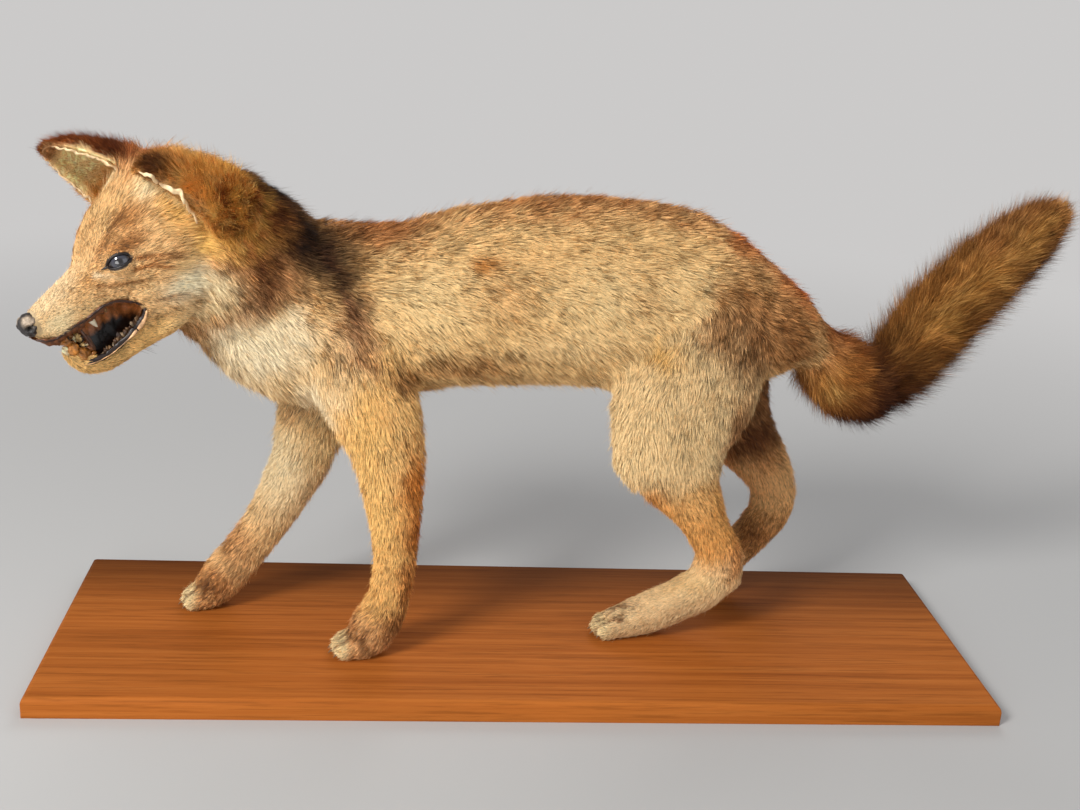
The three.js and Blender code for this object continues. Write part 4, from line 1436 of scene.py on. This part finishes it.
mottle_group()
MATERIALS = {
    "coat": coat_material(),
    "skin": skin_material(),
    "eye": glass_eye_material(),
    "lid": plain_material("lid rim", shade(30, 22, 19), 0.45, bumps=0.2),
    "nose": plain_material("nose leather", None, 0.48, 800, 0.6, 1.4, 0.9),
    "claw": plain_material("claw horn", shade(112, 86, 60), 0.4, 500, 0.6, 1.4, 0.2),
    "tooth": plain_material("tooth", None, 0.3, 300, 0.8, 1.08, 0.15),
    "lining": plain_material("dried mouth", None, 0.34, 420, 0.6, 1.35, 0.7),
    "rim": plain_material("ear rim", shade(246, 216, 168), 0.5, 260, 0.8, 1.1, 0.4),
    "whisker": plain_material("whisker", shade(60, 46, 36), 0.4, 300, 0.9, 1.1, 0.0),
    "board": wood_material(),
}


def wear(piece, material, slot, *replaced):
    """Gives a piece its material, and hides the solids that it stands for. The slot is not used."""
    piece.data.materials.clear()
    piece.data.materials.append(MATERIALS[material])
    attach(piece, "root")
    if replaced:
        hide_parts(*replaced)
    return piece


# ---------------------------------------------------------------- board

BOARD_ROUNDING = 6 * MM   # at the upper edges
BOARD_MIDDLE = 10 * MM
ROUNDING_BY_ENDS_ABOVE = [0.06, 0.2, 1.0]   # of an edge below, an upright one, one above


def make_board():
    """The base board: square ends, a rounded upper edge and a small chamfer below."""
    low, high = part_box("base_board")
    pick_nothing()
    bpy.ops.mesh.primitive_cube_add(size=1, location=(low + high) / 2)
    board = bpy.context.object
    board.name = "board"
    board.scale = high - low
    bpy.ops.object.transform_apply(location=True, rotation=True, scale=True)
    weight = board.data.attributes.new("bevel_weight_edge", "FLOAT", "EDGE")
    for edge in board.data.edges:
        ends_above = sum(board.data.vertices[v].co.z > BOARD_MIDDLE for v in edge.vertices)
        weight.data[edge.index].value = ROUNDING_BY_ENDS_ABOVE[ends_above]
    finish_modifier(board, "BEVEL", width=BOARD_ROUNDING, segments=8, limit_method="WEIGHT")
    bpy.ops.object.shade_smooth_by_angle(angle=math.radians(40))
    return wear(board, "board", "board", "base_board")


# ---------------------------------------------------------------- eyes


EYE_DARK, EYE_RING, EYE_EDGE = shade(24, 20, 22), shade(56, 56, 66), shade(70, 58, 52)


def angle_from(ball, way):
    """How far round a unit ball each of its places is from a way out of it."""
    return np.arccos(np.clip(ball @ way, -1, 1))


def make_eye(name, side):
    """A glass eye with a slightly raised clear front, a grey ring and a dark pupil."""
    eye = new_ball(f"glass_{name}", 48, 32)
    ball = corners_of(eye.data)
    from_gaze = angle_from(ball, LID_FACING * [1, side, 1])
    bulge = 0.45 * ramp(-from_gaze, -0.62, -0.2)
    local = EYE_PLACE * [1, side, 1] + ball * (EYE_RADIUS + bulge)[:, None]
    set_corners(eye.data, to_world(local, head_to_world))
    colour = np.tile(EYE_DARK, (len(local), 1))
    ring = ramp(-from_gaze, -0.66, -0.56) * ramp(from_gaze, 0.22, 0.34)
    colour = paint(colour, ring, 0.9, EYE_RING)
    colour = paint(colour, ramp(from_gaze, 0.8, 0.9), 0.7, EYE_EDGE)
    store_colour(eye.data, "eye_colour", colour)
    return wear(smooth(eye), "eye", "eye_glass", name)


LID_ROUND = 30     # how many places make up the rims of one eye
TEAR_FOLD = [(0, 0, 0), (1.8, -0.8, 0.2), (3.4, -1.6, 0.3), (4.8, -2.4, 0.4)]


def make_lid_rims(side_name, side):
    """The dark bare rims of both lids, and the fold that runs on to the inner corner."""
    loop, radii = [], []
    for turn in np.linspace(0, 2 * math.pi, LID_ROUND, endpoint=False):
        along = LID_HALF * math.cos(turn)
        top, bottom = lid_edge(np.array([along * 0.999]))
        upper = math.sin(turn) >= 0
        flat = LID_ALONG * along + LID_UP * (top[0] if upper else bottom[0])
        out = math.sqrt(max((EYE_RADIUS + 0.8) ** 2 - flat @ flat, 0.1))
        loop.append((EYE_PLACE + flat + LID_FACING * out) * [1, side, 1])
        radii.append(1.0 if upper else 0.7)
    rim = tube(f"lid_rims_{side_name}", loop, radii, head_to_world, closed=True)
    inner = EYE_PLACE + LID_ALONG * (LID_HALF - 0.4) + LID_FACING * 5.2
    line = [(inner + step) * [1, side, 1] for step in TEAR_FOLD]
    fold = tube("tear_fold", line, [1.3, 1.0, 0.6, 0.2], head_to_world)
    rims = joined(f"lid_rims_{side_name}", [rim, fold])
    return wear(rims, "lid", "dark_skin")


# ---------------------------------------------------------------- nose

# NOSE_HOLLOW_SHADE: the dark leather of the nostrils, with painted shade in them and in the furrow
NOSE_BLACK, NOSE_DRY, NOSE_HOLLOW_SHADE = shade(40, 35, 34), shade(176, 156, 134), shade(14, 10, 10)


def make_nose():
    """The leather of the nose: open nostrils, a furrow below, and dried pale wings, with painted
    shade in the nostrils and the furrow.
    """
    nose = new_ball("nose_pad", 72, 48)
    ball = corners_of(nose.data)
    x, y, z = ball.T
    blunt = 1 - 0.10 * np.clip(x, 0, 1) ** 4
    narrow = 1 - 0.16 * ramp(-z, 0.1, 0.9)
    local = np.stack([74.6 + 8.6 * x * blunt, 9.4 * y * narrow, -7.0 + 8.9 * z], 1)
    tone = np.tile(NOSE_BLACK, (len(ball), 1))
    for side in (1, -1):
        nostril = angle_from(ball, unit(np.array([0.50, 0.80 * side, 0.10])))
        wing = angle_from(ball, unit(np.array([0.02, 0.98 * side, 0.22])))
        dry = angle_from(ball, unit(np.array([0.20, 0.74 * side, 0.64])))
        pit = np.exp(-((nostril / 0.27) ** 2))
        slit = np.exp(-((wing / 0.24) ** 2) - ((z - 0.2) / 0.12) ** 2)
        rim = np.exp(-(((nostril - 0.42) / 0.12) ** 2))
        local -= ball * (4.6 * pit + 2.0 * slit - 0.8 * rim)[:, None]
        patch = np.exp(-((dry / 0.58) ** 4))
        tone = paint(tone, patch * (0.9 + 0.3 * ripple(local, 4, 62)), 1.0, NOSE_DRY)
        # painted shade: nostril pits and slits darker than the leather
        tone = paint(tone, pit + slit, 1.2, NOSE_HOLLOW_SHADE)
    furrow = np.exp(-((y / 0.07) ** 2)) * (x > 0) * ramp(-z, -0.3, 0.2)
    local[:, 0] -= 1.1 * furrow
    tone = paint(tone, furrow, 0.7, NOSE_HOLLOW_SHADE)
    local += ball * (0.35 * ripple(local, 5, 61))[:, None]
    set_corners(nose.data, to_world(local, head_to_world))
    store_colour(nose.data, "tone", tone)
    return wear(smooth(nose), "nose", "dark_skin", "nose")


# ---------------------------------------------------------------- strips of bare skin


def smooth_line(points, count):
    """A line through the points with no corners, as evenly spaced places."""
    points = np.array(points, float)
    steps = np.linspace(0, len(points) - 1, count)
    padded = np.concatenate([2 * points[:1] - points[1:2], points, 2 * points[-1:] - points[-2:-1]])
    cell = np.minimum(steps.astype(int), len(points) - 2)
    t = (steps - cell)[:, None]
    a, b, c, d = (padded[cell + k] for k in range(4))
    curve = 2 * b + (c - a) * t + (2 * a - 5 * b + 4 * c - d) * t**2
    return 0.5 * (curve + (3 * b - a - 3 * c + d) * t**3)


STRIP_SIDES = 10


def strip(name, line, wide, deep, widths, depths):
    """A closed band along a line: wide and deep are its ways across at each place."""
    sides = STRIP_SIDES
    turns = np.linspace(0, 2 * math.pi, sides, endpoint=False)
    half = np.array(widths)[:, None, None] / 2
    thick = np.array(depths)[:, None, None] / 2
    rings = line[:, None, :] + wide[:, None, :] * np.cos(turns)[None, :, None] * half
    rings = rings + deep[:, None, :] * np.sin(turns)[None, :, None] * thick
    count = len(line)
    faces = []
    for row in range(count - 1):
        for k in range(sides):
            near, far = row * sides, (row + 1) * sides
            faces.append((near + k, near + (k + 1) % sides, far + (k + 1) % sides, far + k))
    faces.append(tuple(range(sides)))
    faces.append(tuple((count - 1) * sides + k for k in reversed(range(sides))))
    mesh = new_mesh(name, to_world(rings.reshape(-1, 3), head_to_world), faces)
    face_outwards(mesh)
    return smooth(new_object(name, mesh))


def fading_ends(count, start, end, least):
    """1 along a strip, and down to the least over some of its first and last places."""
    along = np.arange(count)
    return ramp(along, -1, start) * ramp(-along, -count, end - count) + least


def tinted(thing, colour, seed=0, size=6.0, unevenness=0.25):
    """Gives every vertex its tone, a little lighter or darker from place to place."""
    places = from_world(corners_of(thing.data), head_to_world)
    uneven = 1 + unevenness * ripple(places, size, seed)
    store_colour(thing.data, "tone", np.clip(colour * uneven[:, None], 0.002, 0.9))
    return thing


def skin_facing(points):
    """The way that the finished skin faces nearest to each point."""
    found = [SKIN_TREE.find_nearest(Vector(point)) for point in to_world(points, head_to_world)]
    return np.array([normal for _, normal, _, _ in found]) @ np.array(head_to_world)[:3, :3]


# ---------------------------------------------------------------- rims of the ears


def rim_strip(name, line, inward, outward, widths, seed):
    """One pale edge: a thin band along a line, curling and ragged."""
    curl = ripple(line, 14, seed) * 1.1 + ripple(line, 5, seed + 1) * 0.7
    line = line + outward * curl[:, None] + inward * (ripple(line, 11, seed + 3) * 1.3)[:, None]
    wide = unit(inward + 0 * line)
    deep = unit(np.cross(wide, np.gradient(line, axis=0)))
    ends = fading_ends(len(line), 6, 6, 0.06)
    widths = widths * ends * (1 + 0.3 * ripple(line, 6, seed + 2))
    return strip(name, line, wide, deep, widths, 1.2 * ends + 0.2)


LEFT_RIM = [
    (-51, 15, 40), (-52, 28, 36), (-54, 34, 31), (-56, 41, 25), (-59, 43, 21), (-57, 47, 13),
    (-58, 50, 0), (-58, 50, -3),
]
RIM_SIDE = unit(np.array([0.33, 0.87, 0.37]))   # the way the left ear's front faces
RIM_START = 60                                  # from how far off its edge is laid down
RIM_PROUD = 4.5                                 # how far it then stands off the skin


def laid_on_skin(line, side):
    """A line moved to the skin that shows behind it from one side, without its steps."""
    rise = []
    for place in to_world(line + side * RIM_START, head_to_world):
        away = SKIN_TREE.ray_cast(Vector(place), Vector(turned(-side, head_to_world)))[3]
        rise.append(RIM_START - away / MM)
    around = np.lib.stride_tricks.sliding_window_view(np.pad(rise, 7, mode="edge"), 15)
    rise = np.convolve(np.pad(around.max(1), 5, mode="edge"), np.ones(11) / 11, mode="valid")
    return line + side * (rise + RIM_PROUD)[:, None]


def make_ear_rims():
    """The pale, curled edge of the dried skin round each ear."""
    front = laid_on_skin(smooth_line(LEFT_RIM, 90), RIM_SIDE)
    middle = np.exp(-(((np.arange(90) - 46) / 24) ** 2))
    down = np.array([0.5, -0.35, -0.6])
    pieces = [rim_strip("left_front", front, down, RIM_SIDE, 2.6 + 1.6 * middle, 71)]
    hollow, across = ear_axes("ear_right")[3:]
    for turn, inset in ((1, 5.0), (-1, 1.2)):
        line = np.array([ear_edge("ear_right", turn, s) for s in np.linspace(0.08, 0.95, 80)])
        inward = unit(-across * turn - hollow * 0.35)
        line = line + inward * inset + hollow * (1.6 if turn == 1 else 0.3)
        width = 4.6 if turn == 1 else 2.2
        pieces.append(rim_strip("right_rim", line, inward, hollow, width, 77 + turn))
    return wear(joined("ear_rims", pieces), "rim", "ear_skin")


# ---------------------------------------------------------------- mouth

LIP_BROWN, LIP_DARK = shade(104, 60, 30), shade(46, 25, 16)
LIP_BLACK, LIP_PALE = shade(34, 20, 15), shade(206, 160, 116)
# The tones of the dried filler, whose cream tones are partly painted highlights, and of the lower
# cheek teeth.
CRUST = [shade(158, 100, 40), shade(216, 180, 118), shade(58, 32, 16), shade(184, 118, 48),
         shade(112, 66, 30), shade(236, 214, 168), shade(84, 48, 22), shade(140, 84, 34)]
CHEEK_TEETH = [shade(132, 102, 74), shade(84, 58, 40), shade(164, 138, 108), shade(58, 38, 26)]
CRUMBS = 74
# Larger lumps at the front of the mouth: place, radii, tone, seed.
LUMPS = [
    ((65, 5.2, -38), (2.4, 2.2, 3.0), CRUST[5], 301),
    ((62, 5, -31), (3.4, 4.6, 3.4), CRUST[0], 302),
    ((60, 7, -40), (3.4, 3.0, 5.0), CRUST[3], 306),
    ((57, 8, -48), (4.4, 3.0, 5.0), CRUST[0], 307),
    ((48, 9.5, -42), (1.6, 1.8, 8.5), shade(84, 54, 40), 303),
]


def lip_line(points, count, side, way):
    """A lip's edge on one side of the head: its places, and its ways across and out."""
    flip = np.array([1, side, 1])
    line = smooth_line(points, count) * flip
    across = unit(np.array(way) * flip + 0 * line)
    facing = skin_facing(line)
    return line, across, unit(facing - across * (facing * across).sum(1, keepdims=True))


def make_lips():
    """The dried edges of the lips: a ragged brown band above, a black and pale one below."""
    pieces = []
    for side in (1, -1):
        line, down, out = lip_line(UPPER_LIP, 80, side, [-0.1, -0.3, -1.0])
        ends = fading_ends(80, 5, 6, 0.12)
        forward = ramp(line[:, 0], 18, 34)
        ragged = 1 + 0.42 * ripple(line, 6, 81) + 0.25 * ripple(line, 2.5, 80)
        widths = (2.4 + 3.6 * forward) * ragged * ends
        place = line + down * (widths * 0.28)[:, None] + out * 0.2
        band = strip("upper_band", place, down, out, widths, 2.0 * ends)
        pieces.append(tinted(band, LIP_BROWN, 82, 4, 0.6))
        widths = 1.7 * ends * (1 + 0.3 * ripple(line, 4, 88))
        edge = strip("upper_edge", line + out * 0.9 - down * 0.2, down, out, widths, 1.3 * ends)
        pieces.append(tinted(edge, LIP_DARK, 83, 4, 0.5))
        line, up, out = lip_line(LOWER_LIP, 70, side, [0.15, -0.25, 1.0])
        ends = fading_ends(70, 4, 8, 0.12)
        ragged = 1 + 0.22 * ripple(line, 5, 84) + 0.15 * ripple(line, 2.5, 89)
        place = line + up * 0.9 - out * 0.5
        black = strip("lower_black", place, up, out, 4.2 * ragged * ends, 2.6 * ends)
        pieces.append(tinted(black, LIP_BLACK, 85, 4, 0.5))
        rear = ramp(-line[:, 0], -30, -14) + 0.35
        place = line - up * 0.5 + out * 0.9
        pale = strip("lower_pale", place, up, out, 1.7 * ragged * ends * rear, 1.2 * ends)
        pieces.append(tinted(pale, LIP_PALE, 86, 7, 0.6))
    return wear(joined("lips", pieces), "lining", "dark_skin")


def make_inner_wall():
    """The dried inside of the mouth, in painted light and painted shadow: the palate's brown,
    brightened, above where light falls in, and black below.
    """
    rows = columns = 26
    along = np.linspace(-8, 52, rows)
    roof = np.interp(along, [-8, 8, 26, 52], [-33, -22.5, -18.5, -20])
    floor = np.interp(along, [-8, 8, 26, 52], [-46, -56, -61, -59])
    turn = np.linspace(0, 1, columns)
    aside = 7 - 17 * np.sin(turn * math.pi) ** 0.6
    places = np.zeros((rows, columns, 3))
    places[:, :, 0] = along[:, None]
    places[:, :, 1] = aside[None, :] * np.interp(along, [-8, 20, 52], [1.1, 1.0, 0.7])[:, None]
    places[:, :, 2] = roof[:, None] + (floor - roof)[:, None] * (0.5 - 0.5 * np.cos(turn * math.pi))
    flat = places.reshape(-1, 3)
    flat = flat + np.stack([ripple(flat, 9, 91), ripple(flat, 7, 92), ripple(flat, 8, 93)], 1) * 0.8
    faces = [
        (r * columns + c, r * columns + c + 1, (r + 1) * columns + c + 1, (r + 1) * columns + c)
        for r in range(rows - 1)
        for c in range(columns - 1)
    ]
    wall = new_object("inner_wall", new_mesh("inner_wall", to_world(flat, head_to_world), faces))
    finish_modifier(wall, "SOLIDIFY", thickness=1.6 * MM, offset=0)
    face_outwards(wall.data)
    smooth(wall)
    local = from_world(corners_of(wall.data), head_to_world)
    # painted light above a wavering edge (the palate's brown made 2.3 times brighter), painted
    # shadow below it
    edge = -45.5 - 0.35 * np.clip(22 - local[:, 0], 0, 30)
    over = local[:, 2] - edge + 1.5 * ripple(local, 9, 95)
    lit_share = ramp(over, -1.5, 1.5) * ramp(-local[:, 0], -58, -36)
    tone = MOUTH_SHADOW_BLACK + (PALATE * 2.3 - MOUTH_SHADOW_BLACK) * lit_share[:, None]
    tone = tone * (1 + 0.25 * ripple(local, 6, 94))[:, None]
    store_colour(wall.data, "tone", tone)
    return wall


def lump(place, radii, colour, seed):
    """A crumb of dried filler: a ball pushed in and out until nothing of it is round."""
    pick_nothing()
    bpy.ops.mesh.primitive_ico_sphere_add(subdivisions=3, radius=1)
    crumb = bpy.context.object
    ball = corners_of(crumb.data)
    size = 1 + 0.32 * ripple(ball, 1.6, seed) + 0.2 * ripple(ball, 0.8, seed + 1)
    local = np.array(place) + ball * size[:, None] * radii
    set_corners(crumb.data, to_world(local, head_to_world))
    return tinted(smooth(crumb), colour, seed, 4, 0.45)


def make_lining():
    """The inner wall and the crumbled filler that stands at the front of the jaw."""
    rng = np.random.default_rng(44)
    pieces = [make_inner_wall()]
    for index in range(CRUMBS):
        forward, height = rng.uniform(0, 1, 2)
        place = (
            47 + 17 * forward - 3.0 * height,
            rng.uniform(-9.5, 9.5) * (1 - 0.5 * forward),
            -56 + 27 * height,
        )
        radii = rng.uniform(1.3, 3.2) * rng.uniform(0.6, 1.25, 3)
        pieces.append(lump(place, radii, CRUST[index % len(CRUST)], 200 + index))
    pieces += [lump(*row) for row in LUMPS]
    # What is left of the lower cheek teeth, in their gum.
    for step in range(15):
        x = 10 + 2.4 * step
        for side in (1, -1):
            place = (x, side * (19 - 0.28 * x + rng.uniform(-1, 1)), -47.5 - 0.24 * x)
            radii = rng.uniform(1.2, 2.3) * np.array([1.0, 0.8, rng.uniform(0.8, 1.9)])
            pieces.append(lump(place, radii, CHEEK_TEETH[step % len(CHEEK_TEETH)], 320 + step))
    return wear(joined("mouth_lining", pieces), "lining", "dark_skin")


# The place of each tooth's root on the left, its height, its radius and its tone.
IVORY, STAINED = shade(236, 224, 196), shade(150, 112, 70)
UPPER_TEETH = [
    (38.5, 11, -25, -11, 3.2, IVORY), (58, 8, -24, -6, 1.9, STAINED),
    (26, 13, -27, -4, 2.0, STAINED), (48, 10.5, -25, -5, 1.9, STAINED),
]
LOWER_TEETH = [
    (52, 6, -55, 8, 1.9, STAINED), (38, 10, -59, 5, 1.9, STAINED),
    (27, 11.5, -59, 5, 2.2, STAINED), (17, 13.5, -57, 5, 2.4, STAINED),
]


def make_teeth(name, teeth, node):
    """Small stained teeth: a bent cone each, its root in the gum."""
    pieces = []
    for x, y, z, height, radius, colour in teeth:
        for side in (1, -1):
            lean = 0.12 * abs(height)
            points = [
                (x, side * y, z), (x - lean * 0.2, side * y, z + height * 0.4),
                (x - lean * 0.6, side * y, z + height * 0.75), (x - lean, side * y, z + height),
            ]
            radii = [radius, radius * 0.9, radius * 0.55, radius * 0.15]
            pieces.append(tinted(tube("tooth", points, radii, head_to_world), colour, 5, 8, 0.12))
    return wear(joined(name, pieces), "tooth", "tooth", node)


# ---------------------------------------------------------------- claws and whiskers

TOE_SPREAD = [(-13, 0), (-4.5, -4), (4.5, -4), (13, 0)]   # aside and forward of the middle
TOE_HEIGHT = 25.3


def make_claws():
    """Worn horn claws, of which little shows past the hair of the toes."""
    for leg, (x, y) in TOES.items():
        for index, (aside, forward) in enumerate(TOE_SPREAD):
            end = x + forward - 8
            line = [
                (end + 5, y + aside, TOE_HEIGHT - 0.5),
                (end + 2, y + aside, TOE_HEIGHT - 0.8),
                (end - 1.2, y + aside, TOE_HEIGHT - 2.6),
                (end - 2.6, y + aside, TOE_HEIGHT - 4.9),
            ]
            name = f"{leg}_claw_{index + 1}"
            claw = tube(f"{name}_horn", line, [1.3, 1.2, 0.8, 0.2], body_to_world)
            wear(claw, "claw", "claw", name)


def make_whiskers():
    """The few short hairs left on the whisker pads and under the chin."""
    rng = np.random.default_rng(8)
    hairs = []
    for side in (1, -1):
        for _ in range(6):
            root = np.array([rng.uniform(46, 62), side * 12.0, rng.uniform(-18, -10)])
            run = np.array([-0.85, side * 0.42, rng.uniform(-0.4, -0.05)])
            far = root + unit(run) * rng.uniform(12, 24)
            middle = (root + far) / 2 + [0, 0, 1]
            hairs.append(([root, middle, far - [0, 0, 3]], [0.12, 0.09, 0.03]))
    for _ in range(6):
        root = np.array([rng.uniform(4, 30), rng.uniform(4, 14), -73])
        far = root + unit(np.array([-0.5, 0.3, -0.8])) * rng.uniform(8, 16)
        hairs.append(([root, (root + far) / 2, far], [0.12, 0.1, 0.03]))
    pieces = [tube("hair", *hair, head_to_world, roundness=1) for hair in hairs]
    return wear(joined("whiskers", pieces), "whisker", "dark_skin")


# ---------------------------------------------------------------- putting it together


def colour_skin(mesh, solid, colour, inside_mouth, opening):
    """The hide's colours: darker than the fur on it, and bare in the mouth and lids, where the
    mouth has painted shadow below its brown roof.
    """
    local = from_world(corners_of(mesh), head_to_world)
    # painted shadow deep in the mouth, with the palate's brown on its roof where light falls in
    lit_share = ramp(local[:, 2], -34, -24) * ramp(-local[:, 0], -50, -12)
    mouth_colour = MOUTH_SHADOW_BLACK + (PALATE - MOUTH_SHADOW_BLACK) * lit_share[:, None]
    tone = np.where(on_solids(solid, EARS), EAR_HIDE_PAINTED_LIGHT, HIDE_TONE)
    hide = np.minimum(colour * tone[:, None], BRIGHTEST)
    in_mouth = ramp(inside_mouth, 0.15, 0.45)
    in_lids = ramp(opening, 0.1, 0.6)
    hide = paint(hide, in_lids, 1.0, LIP)
    store_colour(mesh, "coat_colour", hide + (mouth_colour - hide) * in_mouth[:, None])
    store_value(mesh, "bare", np.maximum(in_mouth, in_lids))


skin = build_skin()
refine_face(skin)
inside_mouth, opening = shape_face(skin)
finish_modifier(skin, "TRIANGULATE")
bpy.ops.object.shade_smooth()
pairs = edges_of(skin.data)
solid = which_solid(corners_of(skin.data))
colour = markings(skin.data, solid, pairs)
flow = flow_field(skin.data, solid, pairs)
growth, density = growth_fields(skin.data, solid, pairs, colour, inside_mouth, opening)
colour_skin(skin.data, solid, colour, inside_mouth, opening)
wear(skin, "skin", "body_coat", *FLESH)
SKIN_TREE = BVHTree.FromPolygons(
    [Vector(place) for place in corners_of(skin.data)],
    [tuple(polygon.vertices) for polygon in skin.data.polygons],
)

pelt = Pelt(skin, solid, colour, flow, growth, density)
forelegs, hind_left, hind_right = (
    [name for name in FLESH if name.startswith(leg)]
    for leg in ("foreleg", "hind_leg_left", "hind_leg_right")
)
grow_coat("flank_coat_left", pelt, ["trunk"], 96000, 101, "body_coat", side=-1)
grow_coat("flank_coat_right", pelt, ["trunk"], 84000, 102, "body_coat", side=1)
grow_coat("neck_coat", pelt, ["neck"], 84000, 103, "throat_coat", spacing=12)
grow_coat("head_coat", pelt, ["head", "lower_jaw"], 98000, 104, "body_coat", spacing=6)
grow_coat("ear_coat", pelt, EARS, 46000, 105, "body_coat", spacing=10, wild=0.2, tousle=2.2)
grow_coat("foreleg_coat", pelt, forelegs, 92000, 106, "leg_coat", spacing=7)
grow_coat("hind_leg_coat_left", pelt, hind_left, 84000, 107, "leg_coat", spacing=7)
grow_coat("hind_leg_coat_right", pelt, hind_right, 62000, 108, "leg_coat", spacing=7)
grow_coat("brush", pelt, TAIL, 92000, 109, "tail_coat", spacing=9, wild=0.26, tousle=1.8)

make_board()
for side_name, side in (("left", 1), ("right", -1)):
    make_eye(f"eye_{side_name}", side)
    make_lid_rims(side_name, side)
make_nose()
make_ear_rims()
make_lips()
make_teeth("teeth_above", UPPER_TEETH, "upper_teeth")
make_teeth("teeth_below", LOWER_TEETH, "lower_teeth")
make_lining()
make_claws()
make_whiskers()

# ---------------------------------------------------------------- floor, light and camera

FLOOR_SIZE = 60


def studio_floor_material():
    """Pale paper that takes the object's shadow and turns even and flat further off."""
    material, tree, surface = fresh_material("studio floor")
    surface.inputs["Base Color"].default_value = (0.46, 0.455, 0.45, 1)
    surface.inputs["Roughness"].default_value = 0.9
    surface.inputs["Specular IOR Level"].default_value = 0.1
    place = node(tree, "ShaderNodeTexCoord")
    away = node(tree, "ShaderNodeVectorMath", operation="LENGTH")
    link(tree, place.outputs["Object"], away.inputs[0])
    far = remapped(tree, away.outputs["Value"], 0.55, 1.9, 0.0, 1.0,
                   interpolation_type="SMOOTHSTEP")
    rays = node(tree, "ShaderNodeLightPath")
    seen = node(tree, "ShaderNodeMath", operation="MAXIMUM")
    share = node(tree, "ShaderNodeMath", operation="MULTIPLY")
    paper = node(tree, "ShaderNodeEmission", Color=(0.6, 0.59, 0.585, 1), Strength=1.0)
    both = node(tree, "ShaderNodeMixShader")
    link(tree, rays.outputs["Is Camera Ray"], seen.inputs[0])
    link(tree, rays.outputs["Is Glossy Ray"], seen.inputs[1])
    link(tree, seen.outputs["Value"], share.inputs[0])
    link(tree, far.outputs["Result"], share.inputs[1])
    link(tree, share.outputs["Value"], both.inputs["Fac"])
    link(tree, surface.outputs["BSDF"], both.inputs[1])
    link(tree, paper.outputs["Emission"], both.inputs[2])
    link(tree, both.outputs["Shader"], tree.nodes["Material Output"].inputs["Surface"])
    return material


pick_nothing()
bpy.ops.mesh.primitive_plane_add(size=FLOOR_SIZE, location=(0, 0, 0))
floor = bpy.context.object
floor.name = "studio_floor"
floor.data.materials.append(studio_floor_material())


def area_light(name, place, target, size, power, colour=(1, 1, 1)):
    """A round lamp of that size at a place, turned to its target."""
    data = bpy.data.lights.new(name, "AREA")
    data.shape = "DISK"
    data.size = size
    data.energy = power
    data.color = colour
    lamp = new_object(name, data)
    lamp.location = place
    lamp.rotation_euler = (Vector(target) - Vector(place)).to_track_quat("-Z", "Y").to_euler()
    return lamp


area_light("key_light", (-1.5, -1.5, 1.7), (0, 0, 0.2), 0.8, 60, (1, 0.995, 0.975))
area_light("fill_light", (1.7, -1.4, 1.1), (0, 0, 0.2), 1.8, 7, (0.98, 0.99, 1))
area_light("side_light", (-0.9, -1.75, 0.2), (-0.2, 0, 0.3), 1.2, 15, (1, 0.99, 0.97))
area_light("back_light", (0.6, 1.8, 1.8), (0, 0, 0.25), 1.4, 16)
world = bpy.data.worlds.new("studio")
bpy.context.scene.world = world
world.use_nodes = True
world.node_tree.nodes["Background"].inputs["Color"].default_value = (0.92, 0.92, 0.93, 1)
world.node_tree.nodes["Background"].inputs["Strength"].default_value = 0.45

# The camera's place in metres, how far it looks down, aside and aslant in radians, and
# its lens.
CAMERA_PLACE = (-0.0983, -1.0999, 0.6106)
PITCH, YAW, ROLL = 0.3321, 0.0966, 0.0604
LENS = 45.94

camera_data = bpy.data.cameras.new("camera")
camera_data.lens = LENS
camera_data.sensor_width = 36
camera = new_object("camera", camera_data)
forward = Vector((
    math.sin(YAW) * math.cos(PITCH), math.cos(YAW) * math.cos(PITCH), -math.sin(PITCH)
))
level = Vector((math.cos(YAW), -math.sin(YAW), 0))
upright = level.cross(forward)
right = math.cos(ROLL) * level + math.sin(ROLL) * upright
upward = -math.sin(ROLL) * level + math.cos(ROLL) * upright
turn = Matrix((right, upward, -forward)).transposed().to_4x4()
camera.matrix_world = Matrix.Translation(CAMERA_PLACE) @ turn
bpy.context.scene.camera = camera
bpy.context.scene.view_settings.view_transform = "Standard"
